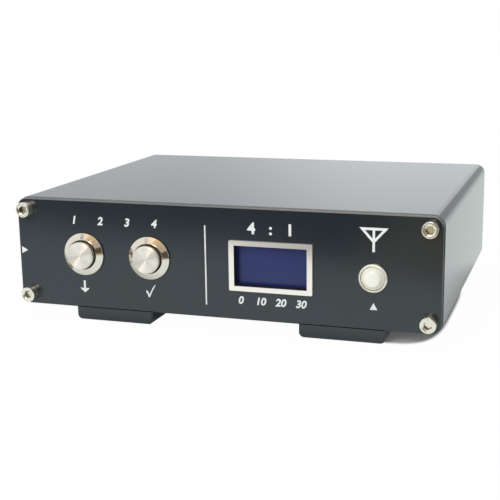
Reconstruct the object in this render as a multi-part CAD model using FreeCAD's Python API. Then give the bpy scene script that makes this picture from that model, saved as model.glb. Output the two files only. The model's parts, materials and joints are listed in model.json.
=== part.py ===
import FreeCAD, Part
import math
import os

# Coaxial antenna switch: an extruded aluminium case with a front panel that carries two
# push buttons, a display and an indicator, and a rear panel that carries the coaxial
# sockets and the supply inlet.
#
# Millimetres. X runs across the front panel, Y from the front panel to the rear panel,
# Z up. Inside the functions, depth is counted from the front face of the front panel and
# height from the case's mid-height. place() then moves every piece so that the origin
# lies under the middle of the whole object, on the surface that it stands on.

# Case
case_width = 140.5
case_height = 36.2
case_corner_radius = 3.5
case_wall = 2.0
body_length = 106.0
front_panel_thickness = 2.0
rear_panel_thickness = 2.0
panel_inset = 0.25
panel_corner_radius = 3.25
panel_edge_break = 0.3
shell_edge_break = 0.3

# Corner screws with socket heads
corner_screw_inset = 3.8
screw_shank_radius = 1.45
screw_hole_radius = 1.5
screw_pass_radius = 1.7
screw_head_radius = 2.5
screw_head_height = 3.0
screw_head_bevel = 0.3
screw_grip = 7.0
hex_key_size = 2.5
hex_key_depth = 1.5
screw_boss_radius = 3.1
screw_boss_depth = 12.0

# Board slots inside the case
board_thickness = 1.6
board_lift = 6.5
board_side_gap = 0.3
board_front_gap = 6.0
board_rear_gap = 4.0
slot_gap = 0.1
slot_rib_thickness = 1.2
slot_rib_reach = 2.5
slot_pitch = 7.5
slot_count = 3

# Foot rails under the case
foot_rail_width = 27.0
foot_rail_height = 4.0
foot_rail_edge_inset = 18.7
foot_rail_shift = 1.7
foot_rail_corner_radius = 1.6
foot_rail_end_bevel = 0.5
foot_screw_count = 3
foot_screw_end_inset = 15.0
foot_screw_head_height = 1.7
foot_screw_recess_depth = 2.2
foot_screw_recess_gap = 0.3
foot_screw_overrun = 0.5

# Push buttons
button_edge_inset = 24.15
button_pitch = 23.1
button_height = 0.2
button_flange_radius = 7.0
button_flange_height = 1.5
button_flange_rim = 0.35
button_lip_width = 0.35
button_seal_thickness = 0.3
button_seal_inset = 0.3
button_cap_radius = 4.5
button_cap_proud = 1.8
button_cap_bevel = 0.35
button_cap_gap = 0.3
button_face_thickness = 2.2
button_travel = 1.5
button_rest_gap = 0.05
button_neck_length = 2.8
button_shoulder_radius = 5.0
button_shoulder_length = 1.6
button_thread_radius = 6.0
button_thread_length = 14.0
button_hole_gap = 0.1
button_stem_radius = 1.2
button_stem_entry = 1.0
button_stem_overtravel = 0.5
button_nut_size = 14.0
button_nut_thickness = 2.0
spring_radius = 2.4
spring_wire_radius = 0.25
spring_wire_sides = 8
spring_turns = 5
spring_end_gap = 0.1
spring_pocket_gap = 0.6
switch_block_depth = 6.0
switch_block_radius = 5.9
switch_block_length = 5.0
terminal_length = 4.0
terminal_width = 2.0
terminal_thickness = 0.6
terminal_spacing = 5.0

# How hexagons stand: the angle of the first corner from +X, in degrees
corner_up = 90.0
corner_aside = 0.0

# Fits inside one body
thread_gap = 0.05
seat_gap = 0.05

# Display
display_edge_inset = 52.75
display_z = -0.35
bezel_side_width = 1.7
bezel_end_width = 1.55
bezel_proud = 1.0
bezel_corner_radius = 0.4
bezel_edge_break = 0.2
window_width = 23.4
window_height = 12.9
collar_wall = 0.7
collar_gap = 0.1
glass_side_overlap = 1.65
glass_end_overlap = 3.2
glass_thickness = 1.5
display_board_side_margin = 0.3
display_board_thickness = 1.2
display_screw_side_inset = 1.9
display_screw_end_inset = 2.0
spacer_glass_gap = 0.55
display_screw_radius = 1.0
display_screw_hole_radius = 1.05
display_screw_thread_depth = 1.3
display_screw_head_radius = 1.8
display_screw_head_height = 1.3
spacer_radius = 1.7
header_width = 10.2
header_height = 2.5
header_depth = 2.5
header_edge_inset = 1.7
display_plug_depth = 7.0
ribbon_width = 5.1
ribbon_thickness = 1.2
ribbon_bend = 3.0
ribbon_run = 6.0

# Indicator
indicator_edge_inset = 20.75
indicator_z = -1.65
indicator_flange_radius = 4.4
indicator_proud = 1.2
indicator_rim_bevel = 0.4
indicator_thread_radius = 3.8
indicator_length = 8.0
indicator_recess_depth = 1.4
indicator_bore_radius = 2.7
indicator_lens_radius = 3.6
indicator_lens_gap = 0.15
indicator_lens_shoulder = 1.0
indicator_lens_top_radius = 2.45
indicator_cone_height = 1.2
indicator_dome_height = 0.5
indicator_lens_stem = 1.5
indicator_nut_size = 10.0
indicator_nut_thickness = 2.0
diode_radius = 2.5
diode_length = 7.0
diode_lead_length = 4.0
diode_lead_size = 0.5
diode_lead_spacing = 2.5

# Coaxial sockets on the rear panel
antenna_count = 4
antenna_edge_inset = 16.0
radio_edge_inset = 34.0
socket_flange_size = 19.0
socket_flange_thickness = 2.5
socket_thread_radius = 7.9
socket_thread_length = 10.5
socket_mouth_bevel = 0.4
socket_mouth_radius = 6.9
socket_mouth_depth = 9.5
socket_notch_width = 1.6
socket_notch_depth = 1.2
socket_notch_reach = 0.5
socket_neck_radius = 6.8
socket_neck_end = 1.0
socket_hole_gap = 0.1
insulator_head = 2.0
insulator_neck_radius = 5.2
insulator_stub = 1.0
contact_radius = 2.8
contact_bore_radius = 2.0
contact_bore_depth = 9.0
cup_radius = 1.9
cup_bore_radius = 1.2
cup_length = 5.0
cup_depth = 4.0
socket_washer_radius = 9.5
socket_washer_thickness = 0.8
socket_nut_size = 18.0
socket_nut_thickness = 2.5
link_radius = 0.6
link_bend = 2.5
link_run = 4.5

# Supply inlet
inlet_edge_inset = 11.5
inlet_flange_radius = 6.5
inlet_flange_thickness = 1.5
inlet_thread_radius = 5.0
inlet_length = 12.0
inlet_mouth_radius = 3.1
inlet_mouth_depth = 10.0
inlet_pin_radius = 1.05
inlet_pin_inset = 0.8
inlet_nut_size = 13.0
inlet_nut_thickness = 2.0
inlet_hole_gap = 0.1

# Pieces on the main board
relay_width = 12.7
relay_length = 29.0
relay_height = 15.7
relay_corner_radius = 0.8
relay_link_gap = 5.1
chip_size = 10.0
chip_height = 1.4
chip_x = -4.0
chip_relay_gap = 8.0
capacitor_radius = 4.0
capacitor_height = 11.5
capacitor_crimp_height = 1.6
capacitor_crimp_radius = 3.6
capacitor_edge_inset = 12.0
capacitor_inlet_gap = 23.5
lead_core_pitch = 1.9

# Places that follow from the sizes above
panel_width = case_width - 2 * panel_inset
panel_height = case_height - 2 * panel_inset
body_front = front_panel_thickness
body_rear = body_front + body_length
rear_face = body_rear + rear_panel_thickness
case_bottom = -case_height / 2
inner_floor = case_bottom + case_wall
board_bottom = inner_floor + board_lift
board_top = board_bottom + board_thickness
board_front = body_front + board_front_gap
board_rear = body_rear - board_rear_gap

select_x = button_edge_inset - case_width / 2
button_places = {"select": select_x, "confirm": select_x + button_pitch}
flange_back = -button_seal_thickness
flange_lip = flange_back - button_flange_height
cap_face = flange_lip - button_cap_proud
shoulder_seat = flange_lip + button_neck_length
button_bore_radius = button_cap_radius + button_cap_gap
guide_radius = button_shoulder_radius + button_cap_gap
block_front = button_thread_length - switch_block_depth
block_rear = button_thread_length + switch_block_length
spring_pocket_radius = spring_radius + spring_wire_radius + spring_pocket_gap
spring_seat = cap_face + button_face_thickness

display_x = case_width / 2 - display_edge_inset
bezel_width = window_width + 2 * bezel_side_width
bezel_height = window_height + 2 * bezel_end_width
collar_width = window_width + 2 * collar_wall
collar_height = window_height + 2 * collar_wall
glass_width = window_width + 2 * glass_side_overlap
glass_height = window_height + 2 * glass_end_overlap
glass_front = front_panel_thickness
display_board_width = glass_width + 2 * display_board_side_margin
display_screw_spacing_x = display_board_width - 2 * display_screw_side_inset
display_screw_spacing_z = glass_height + 2 * (spacer_radius + spacer_glass_gap)
display_board_height = display_screw_spacing_z + 2 * display_screw_end_inset
display_board_front = glass_front + glass_thickness
display_board_back = display_board_front + display_board_thickness
header_z = display_z + display_board_height / 2 - header_edge_inset

indicator_x = case_width / 2 - indicator_edge_inset
lens_floor = indicator_recess_depth - indicator_proud
diode_front = lens_floor + indicator_lens_stem + seat_gap
diode_rear = diode_front + diode_length

socket_flange_back = rear_face + socket_flange_thickness
socket_mouth = socket_flange_back + socket_thread_length
insulator_seat = socket_mouth - socket_mouth_depth
insulator_face = insulator_seat + insulator_head
socket_neck_front = (body_rear - socket_washer_thickness - socket_nut_thickness
                     - socket_neck_end)
insulator_end = socket_neck_front - insulator_stub
cup_end = insulator_end - cup_length
link_drop = cup_end - link_run
relay_row_depth = link_drop - link_radius - relay_link_gap - relay_length
chip_depth = relay_row_depth - chip_relay_gap - chip_size
antenna_first_x = antenna_edge_inset - case_width / 2
radio_socket_x = case_width / 2 - radio_edge_inset
socket_pitch = (radio_socket_x - antenna_first_x) / antenna_count
socket_places = {"antenna_socket_%d" % (count + 1): antenna_first_x + count * socket_pitch
                 for count in range(antenna_count)}
socket_places["radio_socket"] = radio_socket_x

inlet_x = case_width / 2 - inlet_edge_inset
capacitor_x = case_width / 2 - capacitor_edge_inset
inlet_front = rear_face - inlet_length
inlet_mouth = rear_face + inlet_flange_thickness
capacitor_depth = inlet_front - capacitor_inlet_gap

origin_shift = FreeCAD.Vector(0, -(cap_face + socket_mouth) / 2, foot_rail_height - case_bottom)


# Shapes that several pieces share

def cylinder(radius, start, length, x, z):
    """A round bar along Y."""
    return Part.makeCylinder(radius, length, FreeCAD.Vector(x, start, z), FreeCAD.Vector(0, 1, 0))


def upright(radius, x, y, bottom, height):
    """A round bar along Z."""
    return Part.makeCylinder(radius, height, FreeCAD.Vector(x, y, bottom))


def block(width, start, length, x, bottom, height):
    """A box, centred on x."""
    corner = FreeCAD.Vector(x - width / 2, start, bottom)
    return Part.makeBox(width, length, height, corner)


def turned(outline, x, z):
    """A piece turned about a line along Y, from its (radius, depth) outline."""
    points = [FreeCAD.Vector(radius, depth, 0) for radius, depth in outline]
    face = Part.Face(Part.makePolygon(points + points[:1]))
    solid = face.revolve(FreeCAD.Vector(0, 0, 0), FreeCAD.Vector(0, 1, 0), 360)
    solid.translate(FreeCAD.Vector(x, 0, z))
    return solid


def hexagon(size, start, length, x, z, first_corner):
    """A hexagonal bar along Y, of the given size across its flats."""
    reach = size / 2 / math.cos(math.radians(30))
    corners = []
    for count in range(6):
        angle = math.radians(first_corner + 60 * count)
        corners.append(FreeCAD.Vector(x + reach * math.cos(angle), start, z + reach * math.sin(angle)))
    face = Part.Face(Part.makePolygon(corners + corners[:1]))
    return face.extrude(FreeCAD.Vector(0, length, 0))


def edges_along(shape, direction):
    """The straight edges that run along a direction."""
    found = []
    for edge in shape.Edges:
        run = edge.Vertexes[-1].Point - edge.Vertexes[0].Point
        if run.Length > 0 and abs(abs(run.dot(direction)) - run.Length) < 1e-6:
            found.append(edge)
    return found


def edges_at_depth(shape, depth):
    """The edges that lie at one depth."""
    return [edge for edge in shape.Edges
            if abs(edge.BoundBox.YMin - depth) < 1e-6 and abs(edge.BoundBox.YMax - depth) < 1e-6]


def rounded_block(width, height, radius, start, length, x, z):
    """A bar along Y with a rounded rectangular section."""
    bar = block(width, start, length, x, z - height / 2, height)
    return bar.makeFillet(radius, edges_along(bar, FreeCAD.Vector(0, 1, 0)))


def broken_ends(bar, size, start, length):
    """The bar with the edges of both its ends broken."""
    edges = edges_at_depth(bar, start) + edges_at_depth(bar, start + length)
    return bar.makeChamfer(size, edges)


def nut(size, thickness, bore_radius, start, x, z, first_corner):
    bar = hexagon(size, start, thickness, x, z, first_corner)
    corner_radius = size / 2 / math.cos(math.radians(30))
    bevel = (corner_radius - size / 2)
    rounding = turned([(0, start), (corner_radius - bevel, start),
                       (corner_radius, start + bevel / 2),
                       (corner_radius, start + thickness - bevel / 2),
                       (corner_radius - bevel, start + thickness), (0, start + thickness)], x, z)
    return bar.common(rounding).cut(cylinder(bore_radius, start, thickness, x, z))


def ring(outer_radius, bore_radius, start, thickness, x, z):
    return cylinder(outer_radius, start, thickness, x, z).cut(
        cylinder(bore_radius, start, thickness, x, z))


def signs():
    return [(side, level) for side in (-1, 1) for level in (-1, 1)]


def corner_places():
    """The (x, z) places of the corner screws, the same on both panels."""
    x = case_width / 2 - corner_screw_inset
    z = case_height / 2 - corner_screw_inset
    return [(side * x, level * z) for side, level in signs()]


def display_screw_places():
    return [(display_x + side * display_screw_spacing_x / 2,
             display_z + level * display_screw_spacing_z / 2) for side, level in signs()]


def foot_rail_x(side):
    return foot_rail_shift + side * (case_width / 2 - foot_rail_edge_inset - foot_rail_width / 2)


def foot_screw_depths():
    run = rear_face - 2 * foot_screw_end_inset
    return [foot_screw_end_inset + run * count / (foot_screw_count - 1)
            for count in range(foot_screw_count)]


def flat_lead(width, x, start, height, run, bend, thickness):
    """A flat lead that runs back or forward from a terminal and bends down to the board."""
    side = math.copysign(1, run)
    half = thickness / 2

    def bent_line(shift):
        corner = FreeCAD.Vector(0, start + run + side * shift, height + shift)
        radius = bend + shift
        before = corner - FreeCAD.Vector(0, side * radius, 0)
        after = corner - FreeCAD.Vector(0, 0, radius)
        middle = before + FreeCAD.Vector(0, side * radius * math.sin(math.pi / 4),
                                         -radius * (1 - math.cos(math.pi / 4)))
        return (FreeCAD.Vector(0, start, height + shift), before, middle, after,
                FreeCAD.Vector(0, corner.y, board_top))

    outer = bent_line(half)
    inner = bent_line(-half)
    edges = [Part.makeLine(outer[0], outer[1]),
             Part.Arc(outer[1], outer[2], outer[3]).toShape(),
             Part.makeLine(outer[3], outer[4]),
             Part.makeLine(outer[4], inner[4]),
             Part.makeLine(inner[4], inner[3]),
             Part.Arc(inner[3], inner[2], inner[1]).toShape(),
             Part.makeLine(inner[1], inner[0]),
             Part.makeLine(inner[0], outer[0])]
    face = Part.Face(Part.Wire(edges))
    face.translate(FreeCAD.Vector(x - width / 2, 0, 0))
    return face.extrude(FreeCAD.Vector(width, 0, 0))


# Case

def body_shell():
    outer = rounded_block(case_width, case_height, case_corner_radius, body_front, body_length, 0, 0)
    outer = broken_ends(outer, shell_edge_break, body_front, body_length)
    inner = rounded_block(case_width - 2 * case_wall, case_height - 2 * case_wall,
                          case_corner_radius - case_wall, body_front, body_length, 0, 0)
    inside = [cylinder(screw_boss_radius, body_front, body_length, x, z) for x, z in corner_places()]
    inside += slot_ribs()
    shell = outer.cut(inner).multiFuse(inside).common(outer).removeSplitter()
    holes = []
    for x, z in corner_places():
        holes.append(cylinder(screw_hole_radius, body_front, screw_boss_depth, x, z))
        holes.append(cylinder(screw_hole_radius, body_rear - screw_boss_depth, screw_boss_depth, x, z))
    for side in (-1, 1):
        for depth in foot_screw_depths():
            holes.append(upright(screw_hole_radius, foot_rail_x(side), depth, case_bottom, case_wall))
    return shell.cut(Part.makeCompound(holes))


def slot_ribs():
    """Pairs of ribs on both side walls, each pair holding a board's edge."""
    ribs = []
    reach = case_wall / 2 + slot_rib_reach
    for side in (-1, 1):
        x = side * (case_width / 2 - case_wall / 2 - reach / 2)
        for count in range(slot_count):
            bottom = board_bottom + count * slot_pitch
            low = bottom - slot_gap - slot_rib_thickness
            high = bottom + board_thickness + slot_gap
            ribs.append(block(reach, body_front, body_length, x, low, slot_rib_thickness))
            ribs.append(block(reach, body_front, body_length, x, high, slot_rib_thickness))
    return ribs


def front_panel():
    plate = rounded_block(panel_width, panel_height, panel_corner_radius, 0, front_panel_thickness,
                          0, 0)
    plate = broken_ends(plate, panel_edge_break, 0, front_panel_thickness)
    holes = [cylinder(screw_pass_radius, 0, front_panel_thickness, x, z) for x, z in corner_places()]
    for x in button_places.values():
        holes.append(cylinder(button_thread_radius + button_hole_gap, 0, front_panel_thickness,
                              x, button_height))
    holes.append(cylinder(indicator_thread_radius + button_hole_gap, 0, front_panel_thickness,
                          indicator_x, indicator_z))
    opening_height = collar_height + 2 * collar_gap
    holes.append(block(collar_width + 2 * collar_gap, 0, front_panel_thickness, display_x,
                       display_z - opening_height / 2, opening_height))
    for x, z in display_screw_places():
        holes.append(cylinder(display_screw_hole_radius,
                              front_panel_thickness - display_screw_thread_depth,
                              display_screw_thread_depth, x, z))
    return plate.cut(Part.makeCompound(holes))


def rear_panel():
    plate = rounded_block(panel_width, panel_height, panel_corner_radius, body_rear,
                          rear_panel_thickness, 0, 0)
    plate = broken_ends(plate, panel_edge_break, body_rear, rear_panel_thickness)
    holes = [cylinder(screw_pass_radius, body_rear, rear_panel_thickness, x, z)
             for x, z in corner_places()]
    for x in socket_places.values():
        holes.append(cylinder(socket_neck_radius + socket_hole_gap, body_rear,
                              rear_panel_thickness, x, 0))
    holes.append(cylinder(inlet_thread_radius + inlet_hole_gap, body_rear,
                          rear_panel_thickness, inlet_x, 0))
    return plate.cut(Part.makeCompound(holes))


def socket_head_screw(grip, thickness):
    """A screw along Y with its head's seat at zero and its shank towards +Y."""
    shank_end = thickness + grip
    screw = turned([(0, -screw_head_height), (screw_head_radius - screw_head_bevel, -screw_head_height),
                    (screw_head_radius, screw_head_bevel - screw_head_height),
                    (screw_head_radius, 0), (screw_shank_radius, 0),
                    (screw_shank_radius, shank_end), (0, shank_end)], 0, 0)
    return screw.cut(hexagon(hex_key_size, -screw_head_height, hex_key_depth, 0, 0, corner_up))


def front_panel_screws():
    screws = []
    for x, z in corner_places():
        screw = socket_head_screw(screw_grip, front_panel_thickness)
        screw.translate(FreeCAD.Vector(x, 0, z))
        screws.append(screw)
    return screws


def rear_panel_screws():
    screws = []
    for x, z in corner_places():
        screw = socket_head_screw(screw_grip, rear_panel_thickness)
        screw.rotate(FreeCAD.Vector(0, 0, 0), FreeCAD.Vector(0, 0, 1), 180)
        screw.translate(FreeCAD.Vector(x, rear_face, z))
        screws.append(screw)
    return screws


def foot_rail(side):
    """A rail under the case, with a lip at each end that fills the step under a panel."""
    bottom = case_bottom - foot_rail_height
    x = foot_rail_x(side)
    bar = block(foot_rail_width, 0, rear_face, x, bottom, foot_rail_height)
    lips = [block(foot_rail_width, 0, front_panel_thickness, x, case_bottom, panel_inset),
            block(foot_rail_width, body_rear, rear_panel_thickness, x, case_bottom, panel_inset)]
    bar = bar.multiFuse(lips).removeSplitter()
    long_edges = [edge for edge in edges_along(bar, FreeCAD.Vector(0, 1, 0))
                  if abs(edge.CenterOfMass.z - bottom) < 1e-6]
    bar = bar.makeFillet(foot_rail_corner_radius, long_edges)
    end_edges = [edge for edge in edges_at_depth(bar, 0) + edges_at_depth(bar, rear_face)
                 if edge.CenterOfMass.z < case_bottom]
    bar = bar.makeChamfer(foot_rail_end_bevel, end_edges)
    holes = []
    for depth in foot_screw_depths():
        holes.append(upright(screw_pass_radius, x, depth, bottom, foot_rail_height))
        holes.append(upright(screw_head_radius + foot_screw_recess_gap, x, depth, bottom,
                             foot_screw_recess_depth))
    return bar.cut(Part.makeCompound(holes))


def foot_rail_screws():
    seat = case_bottom - foot_rail_height + foot_screw_recess_depth
    shank = foot_rail_height - foot_screw_recess_depth + case_wall + foot_screw_overrun
    screws = []
    for side in (-1, 1):
        for depth in foot_screw_depths():
            x = foot_rail_x(side)
            head = upright(screw_head_radius, x, depth, seat - foot_screw_head_height,
                           foot_screw_head_height)
            screws.append(head.fuse(upright(screw_shank_radius, x, depth, seat, shank)))
    return screws


# Push buttons

def button_bushing(x):
    """The flanged, threaded sleeve. A step inside it stops the cap's shoulder."""
    lip_radius = button_bore_radius + button_lip_width
    return turned([(button_bore_radius, flange_lip), (lip_radius, flange_lip),
                   (button_flange_radius, flange_back - button_flange_rim),
                   (button_flange_radius, flange_back), (button_thread_radius, flange_back),
                   (button_thread_radius, button_thread_length), (guide_radius, button_thread_length),
                   (guide_radius, shoulder_seat), (button_bore_radius, shoulder_seat)],
                  x, button_height)


def button_cap(x):
    """The cap that is pressed: face, shoulder, spring pocket and stem, turned in one piece."""
    shoulder_front = shoulder_seat + button_rest_gap
    shoulder_rear = shoulder_front + button_shoulder_length
    return turned([(0, cap_face), (button_cap_radius - button_cap_bevel, cap_face),
                   (button_cap_radius, cap_face + button_cap_bevel),
                   (button_cap_radius, shoulder_front), (button_shoulder_radius, shoulder_front),
                   (button_shoulder_radius, shoulder_rear), (spring_pocket_radius, shoulder_rear),
                   (spring_pocket_radius, spring_seat), (button_stem_radius, spring_seat),
                   (button_stem_radius, block_front + button_stem_entry),
                   (0, block_front + button_stem_entry)], x, button_height)


def button_spring(x):
    """A coil of round wire between the cap's pocket and the switch block."""
    start = spring_seat + spring_end_gap + spring_wire_radius
    length = block_front - spring_end_gap - spring_wire_radius - start
    coil = Part.makeHelix(length / spring_turns, length, spring_radius)
    corners = []
    for count in range(spring_wire_sides):
        angle = 2 * math.pi * count / spring_wire_sides
        corners.append(FreeCAD.Vector(spring_radius + spring_wire_radius * math.cos(angle), 0,
                                      spring_wire_radius * math.sin(angle)))
    section = Part.makePolygon(corners + corners[:1])
    spring = Part.Wire(coil).makePipeShell([section], True, True)
    spring.rotate(FreeCAD.Vector(0, 0, 0), FreeCAD.Vector(1, 0, 0), -90)
    spring.translate(FreeCAD.Vector(x, start, button_height))
    return spring


def button_switch_block(x):
    """The moulded contact housing pressed into the sleeve's rear end."""
    stem_hole_radius = button_stem_radius + button_cap_gap
    stem_hole_end = block_front + button_stem_entry + button_travel + button_stem_overtravel
    return turned([(stem_hole_radius, block_front), (guide_radius - seat_gap, block_front),
                   (guide_radius - seat_gap, button_thread_length),
                   (switch_block_radius, button_thread_length),
                   (switch_block_radius, block_rear), (0, block_rear), (0, stem_hole_end),
                   (stem_hole_radius, stem_hole_end)], x, button_height)


def button_seal(x):
    return ring(button_flange_radius - button_seal_inset, button_thread_radius + button_hole_gap,
                flange_back, button_seal_thickness, x, button_height)


def button_nut(x):
    return nut(button_nut_size, button_nut_thickness, button_thread_radius + thread_gap,
               front_panel_thickness, x, button_height, corner_aside)


def button_terminals():
    blades = []
    for x in button_places.values():
        for side in (-1, 1):
            blades.append(block(terminal_thickness, block_rear, terminal_length,
                                x + side * terminal_spacing / 2, button_height - terminal_width / 2,
                                terminal_width))
    return blades


def button_leads():
    start = block_rear + terminal_length
    width = terminal_spacing + terminal_thickness
    return [flat_lead(width, x, start, button_height, ribbon_run, ribbon_bend, ribbon_thickness)
            for x in button_places.values()]


# Display

def display_bezel():
    """The metal frame: a flat face on the panel and a collar through the panel's opening."""
    face = rounded_block(bezel_width, bezel_height, bezel_corner_radius, -bezel_proud, bezel_proud,
                         display_x, display_z)
    face = face.makeChamfer(bezel_edge_break, edges_at_depth(face, -bezel_proud))
    collar = block(collar_width, 0, front_panel_thickness, display_x,
                   display_z - collar_height / 2, collar_height)
    window = block(window_width, -bezel_proud, bezel_proud + front_panel_thickness, display_x,
                   display_z - window_height / 2, window_height)
    return face.fuse(collar).removeSplitter().cut(window)


def display_glass():
    return block(glass_width, glass_front, glass_thickness, display_x,
                 display_z - glass_height / 2, glass_height)


def display_board():
    board = block(display_board_width, display_board_front, display_board_thickness, display_x,
                  display_z - display_board_height / 2, display_board_height)
    holes = [cylinder(display_screw_hole_radius, display_board_front, display_board_thickness, x, z)
             for x, z in display_screw_places()]
    return board.cut(Part.makeCompound(holes))


def display_spacers():
    return [ring(spacer_radius, display_screw_hole_radius, glass_front, glass_thickness, x, z)
            for x, z in display_screw_places()]


def display_screws():
    screws = []
    for x, z in display_screw_places():
        tip = front_panel_thickness - display_screw_thread_depth + seat_gap
        shank = cylinder(display_screw_radius, tip, display_board_back - tip, x, z)
        head = cylinder(display_screw_head_radius, display_board_back, display_screw_head_height, x, z)
        screws.append(shank.fuse(head))
    return screws


def display_header():
    return block(header_width, display_board_back, header_depth, display_x,
                 header_z - header_height / 2, header_height)


def display_cable():
    """The plug on the display's header, with its flat cable down to the main board."""
    plug_front = display_board_back + header_depth
    plug = block(header_width, plug_front, display_plug_depth, display_x,
                 header_z - header_height / 2, header_height)
    lead = flat_lead(ribbon_width, display_x, plug_front + display_plug_depth, header_z,
                     ribbon_run, ribbon_bend, ribbon_thickness)
    return plug.fuse(lead)


# Indicator

def indicator_holder():
    recess_radius = indicator_lens_radius + indicator_lens_gap
    return turned([(recess_radius, -indicator_proud),
                   (indicator_flange_radius - indicator_rim_bevel, -indicator_proud),
                   (indicator_flange_radius, indicator_rim_bevel - indicator_proud),
                   (indicator_flange_radius, 0), (indicator_thread_radius, 0),
                   (indicator_thread_radius, indicator_length),
                   (indicator_bore_radius, indicator_length), (indicator_bore_radius, lens_floor),
                   (recess_radius, lens_floor)], indicator_x, indicator_z)


def indicator_lens():
    """A lens with a low cone and a domed top, and a short stem that lights it from behind."""
    rim = lens_floor - indicator_lens_shoulder
    cone_top = rim - indicator_cone_height
    top = cone_top - indicator_dome_height
    stem_radius = indicator_bore_radius - indicator_lens_gap
    stem_end = lens_floor + indicator_lens_stem
    lens = turned([(0, top), (indicator_lens_top_radius, top), (indicator_lens_top_radius, cone_top),
                   (indicator_lens_radius, rim), (indicator_lens_radius, lens_floor),
                   (stem_radius, lens_floor), (stem_radius, stem_end), (0, stem_end)],
                  indicator_x, indicator_z)
    dome_radius = (indicator_lens_top_radius ** 2 + indicator_dome_height ** 2) / (2 * indicator_dome_height)
    ball = Part.makeSphere(dome_radius, FreeCAD.Vector(indicator_x, top + dome_radius, indicator_z))
    front = cylinder(indicator_lens_radius, top, indicator_dome_height, indicator_x, indicator_z)
    return lens.cut(front.cut(ball))


def indicator_diode():
    body = cylinder(diode_radius, diode_front, diode_length, indicator_x, indicator_z)
    leads = [block(diode_lead_size, diode_rear, diode_lead_length,
                   indicator_x + side * diode_lead_spacing / 2,
                   indicator_z - diode_lead_size / 2, diode_lead_size) for side in (-1, 1)]
    return body.multiFuse(leads)


def indicator_nut():
    return nut(indicator_nut_size, indicator_nut_thickness, indicator_thread_radius + thread_gap,
               front_panel_thickness, indicator_x, indicator_z, corner_aside)


def indicator_lead():
    return flat_lead(diode_lead_spacing + diode_lead_size, indicator_x, diode_rear + diode_lead_length,
                     indicator_z, ribbon_run, ribbon_bend, ribbon_thickness)


# Coaxial sockets

def socket_shell(x):
    """Hexagonal flange and threaded barrel outside the panel, plain neck inside it."""
    neck_bore = insulator_neck_radius + seat_gap
    flange = hexagon(socket_flange_size, rear_face, socket_flange_thickness, x, 0, corner_up)
    barrel = turned([(0, socket_neck_front), (socket_neck_radius, socket_neck_front),
                     (socket_neck_radius, rear_face), (socket_thread_radius, rear_face),
                     (socket_thread_radius, socket_mouth - socket_mouth_bevel),
                     (socket_thread_radius - socket_mouth_bevel, socket_mouth),
                     (0, socket_mouth)], x, 0)
    bore = turned([(0, socket_neck_front), (neck_bore, socket_neck_front),
                   (neck_bore, insulator_seat), (socket_mouth_radius, insulator_seat),
                   (socket_mouth_radius, socket_mouth), (0, socket_mouth)], x, 0)
    return flange.fuse(barrel).removeSplitter().cut(bore).cut(mouth_notches(x))


def mouth_notches(x):
    """Four notches inside the mouth's rim that keep a plug from turning."""
    reach = socket_mouth_radius + socket_notch_reach
    start = socket_mouth - socket_notch_depth
    upright_bar = block(socket_notch_width, start, socket_notch_depth, x, -reach, 2 * reach)
    level_bar = block(2 * reach, start, socket_notch_depth, x, -socket_notch_width / 2,
                      socket_notch_width)
    disc = cylinder(reach, start, socket_notch_depth, x, 0)
    return disc.common(upright_bar.fuse(level_bar))


def socket_insulator(x):
    head_radius = socket_mouth_radius - seat_gap
    bore = contact_radius + seat_gap
    return turned([(bore, insulator_end), (insulator_neck_radius, insulator_end),
                   (insulator_neck_radius, insulator_seat), (head_radius, insulator_seat),
                   (head_radius, insulator_face), (bore, insulator_face)], x, 0)


def socket_insulators():
    return [socket_insulator(x) for x in socket_places.values()]


def socket_contact(x):
    """The tube that grips the plug's pin, with a solder cup at its inner end."""
    return turned([(0, cup_end + cup_depth), (cup_bore_radius, cup_end + cup_depth),
                   (cup_bore_radius, cup_end), (cup_radius, cup_end), (cup_radius, insulator_end),
                   (contact_radius, insulator_end), (contact_radius, insulator_face),
                   (contact_bore_radius, insulator_face),
                   (contact_bore_radius, insulator_face - contact_bore_depth),
                   (0, insulator_face - contact_bore_depth)], x, 0)


def socket_washers():
    return [ring(socket_washer_radius, socket_neck_radius + thread_gap,
                 body_rear - socket_washer_thickness, socket_washer_thickness, x, 0)
            for x in socket_places.values()]


def socket_nuts():
    start = body_rear - socket_washer_thickness - socket_nut_thickness
    return [nut(socket_nut_size, socket_nut_thickness, socket_neck_radius + thread_gap, start, x, 0,
                corner_up)
            for x in socket_places.values()]


def radio_links():
    """Stiff wires from the sockets' solder cups down to the board."""
    links = []
    for x in socket_places.values():
        start = cup_end + cup_depth
        corner = FreeCAD.Vector(x, link_drop, 0)
        before = corner + FreeCAD.Vector(0, link_bend, 0)
        after = corner - FreeCAD.Vector(0, 0, link_bend)
        middle = before + FreeCAD.Vector(0, -link_bend * math.sin(math.pi / 4),
                                         -link_bend * (1 - math.cos(math.pi / 4)))
        path = Part.Wire([Part.makeLine(FreeCAD.Vector(x, start, 0), before),
                          Part.Arc(before, middle, after).toShape(),
                          Part.makeLine(after, FreeCAD.Vector(x, corner.y, board_top))])
        section = Part.makeCircle(link_radius, FreeCAD.Vector(x, start, 0), FreeCAD.Vector(0, 1, 0))
        links.append(path.makePipeShell([Part.Wire(section)], True, True))
    return links


# Supply inlet

def inlet_housing():
    return turned([(0, inlet_front), (inlet_thread_radius, inlet_front),
                   (inlet_thread_radius, rear_face), (inlet_flange_radius, rear_face),
                   (inlet_flange_radius, inlet_mouth), (inlet_mouth_radius, inlet_mouth),
                   (inlet_mouth_radius, inlet_mouth - inlet_mouth_depth),
                   (inlet_pin_radius + seat_gap, inlet_mouth - inlet_mouth_depth),
                   (inlet_pin_radius + seat_gap, inlet_front + case_wall),
                   (0, inlet_front + case_wall)], inlet_x, 0)


def inlet_pin():
    start = inlet_front + case_wall
    return cylinder(inlet_pin_radius, start, inlet_mouth - inlet_pin_inset - start, inlet_x, 0)


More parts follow.
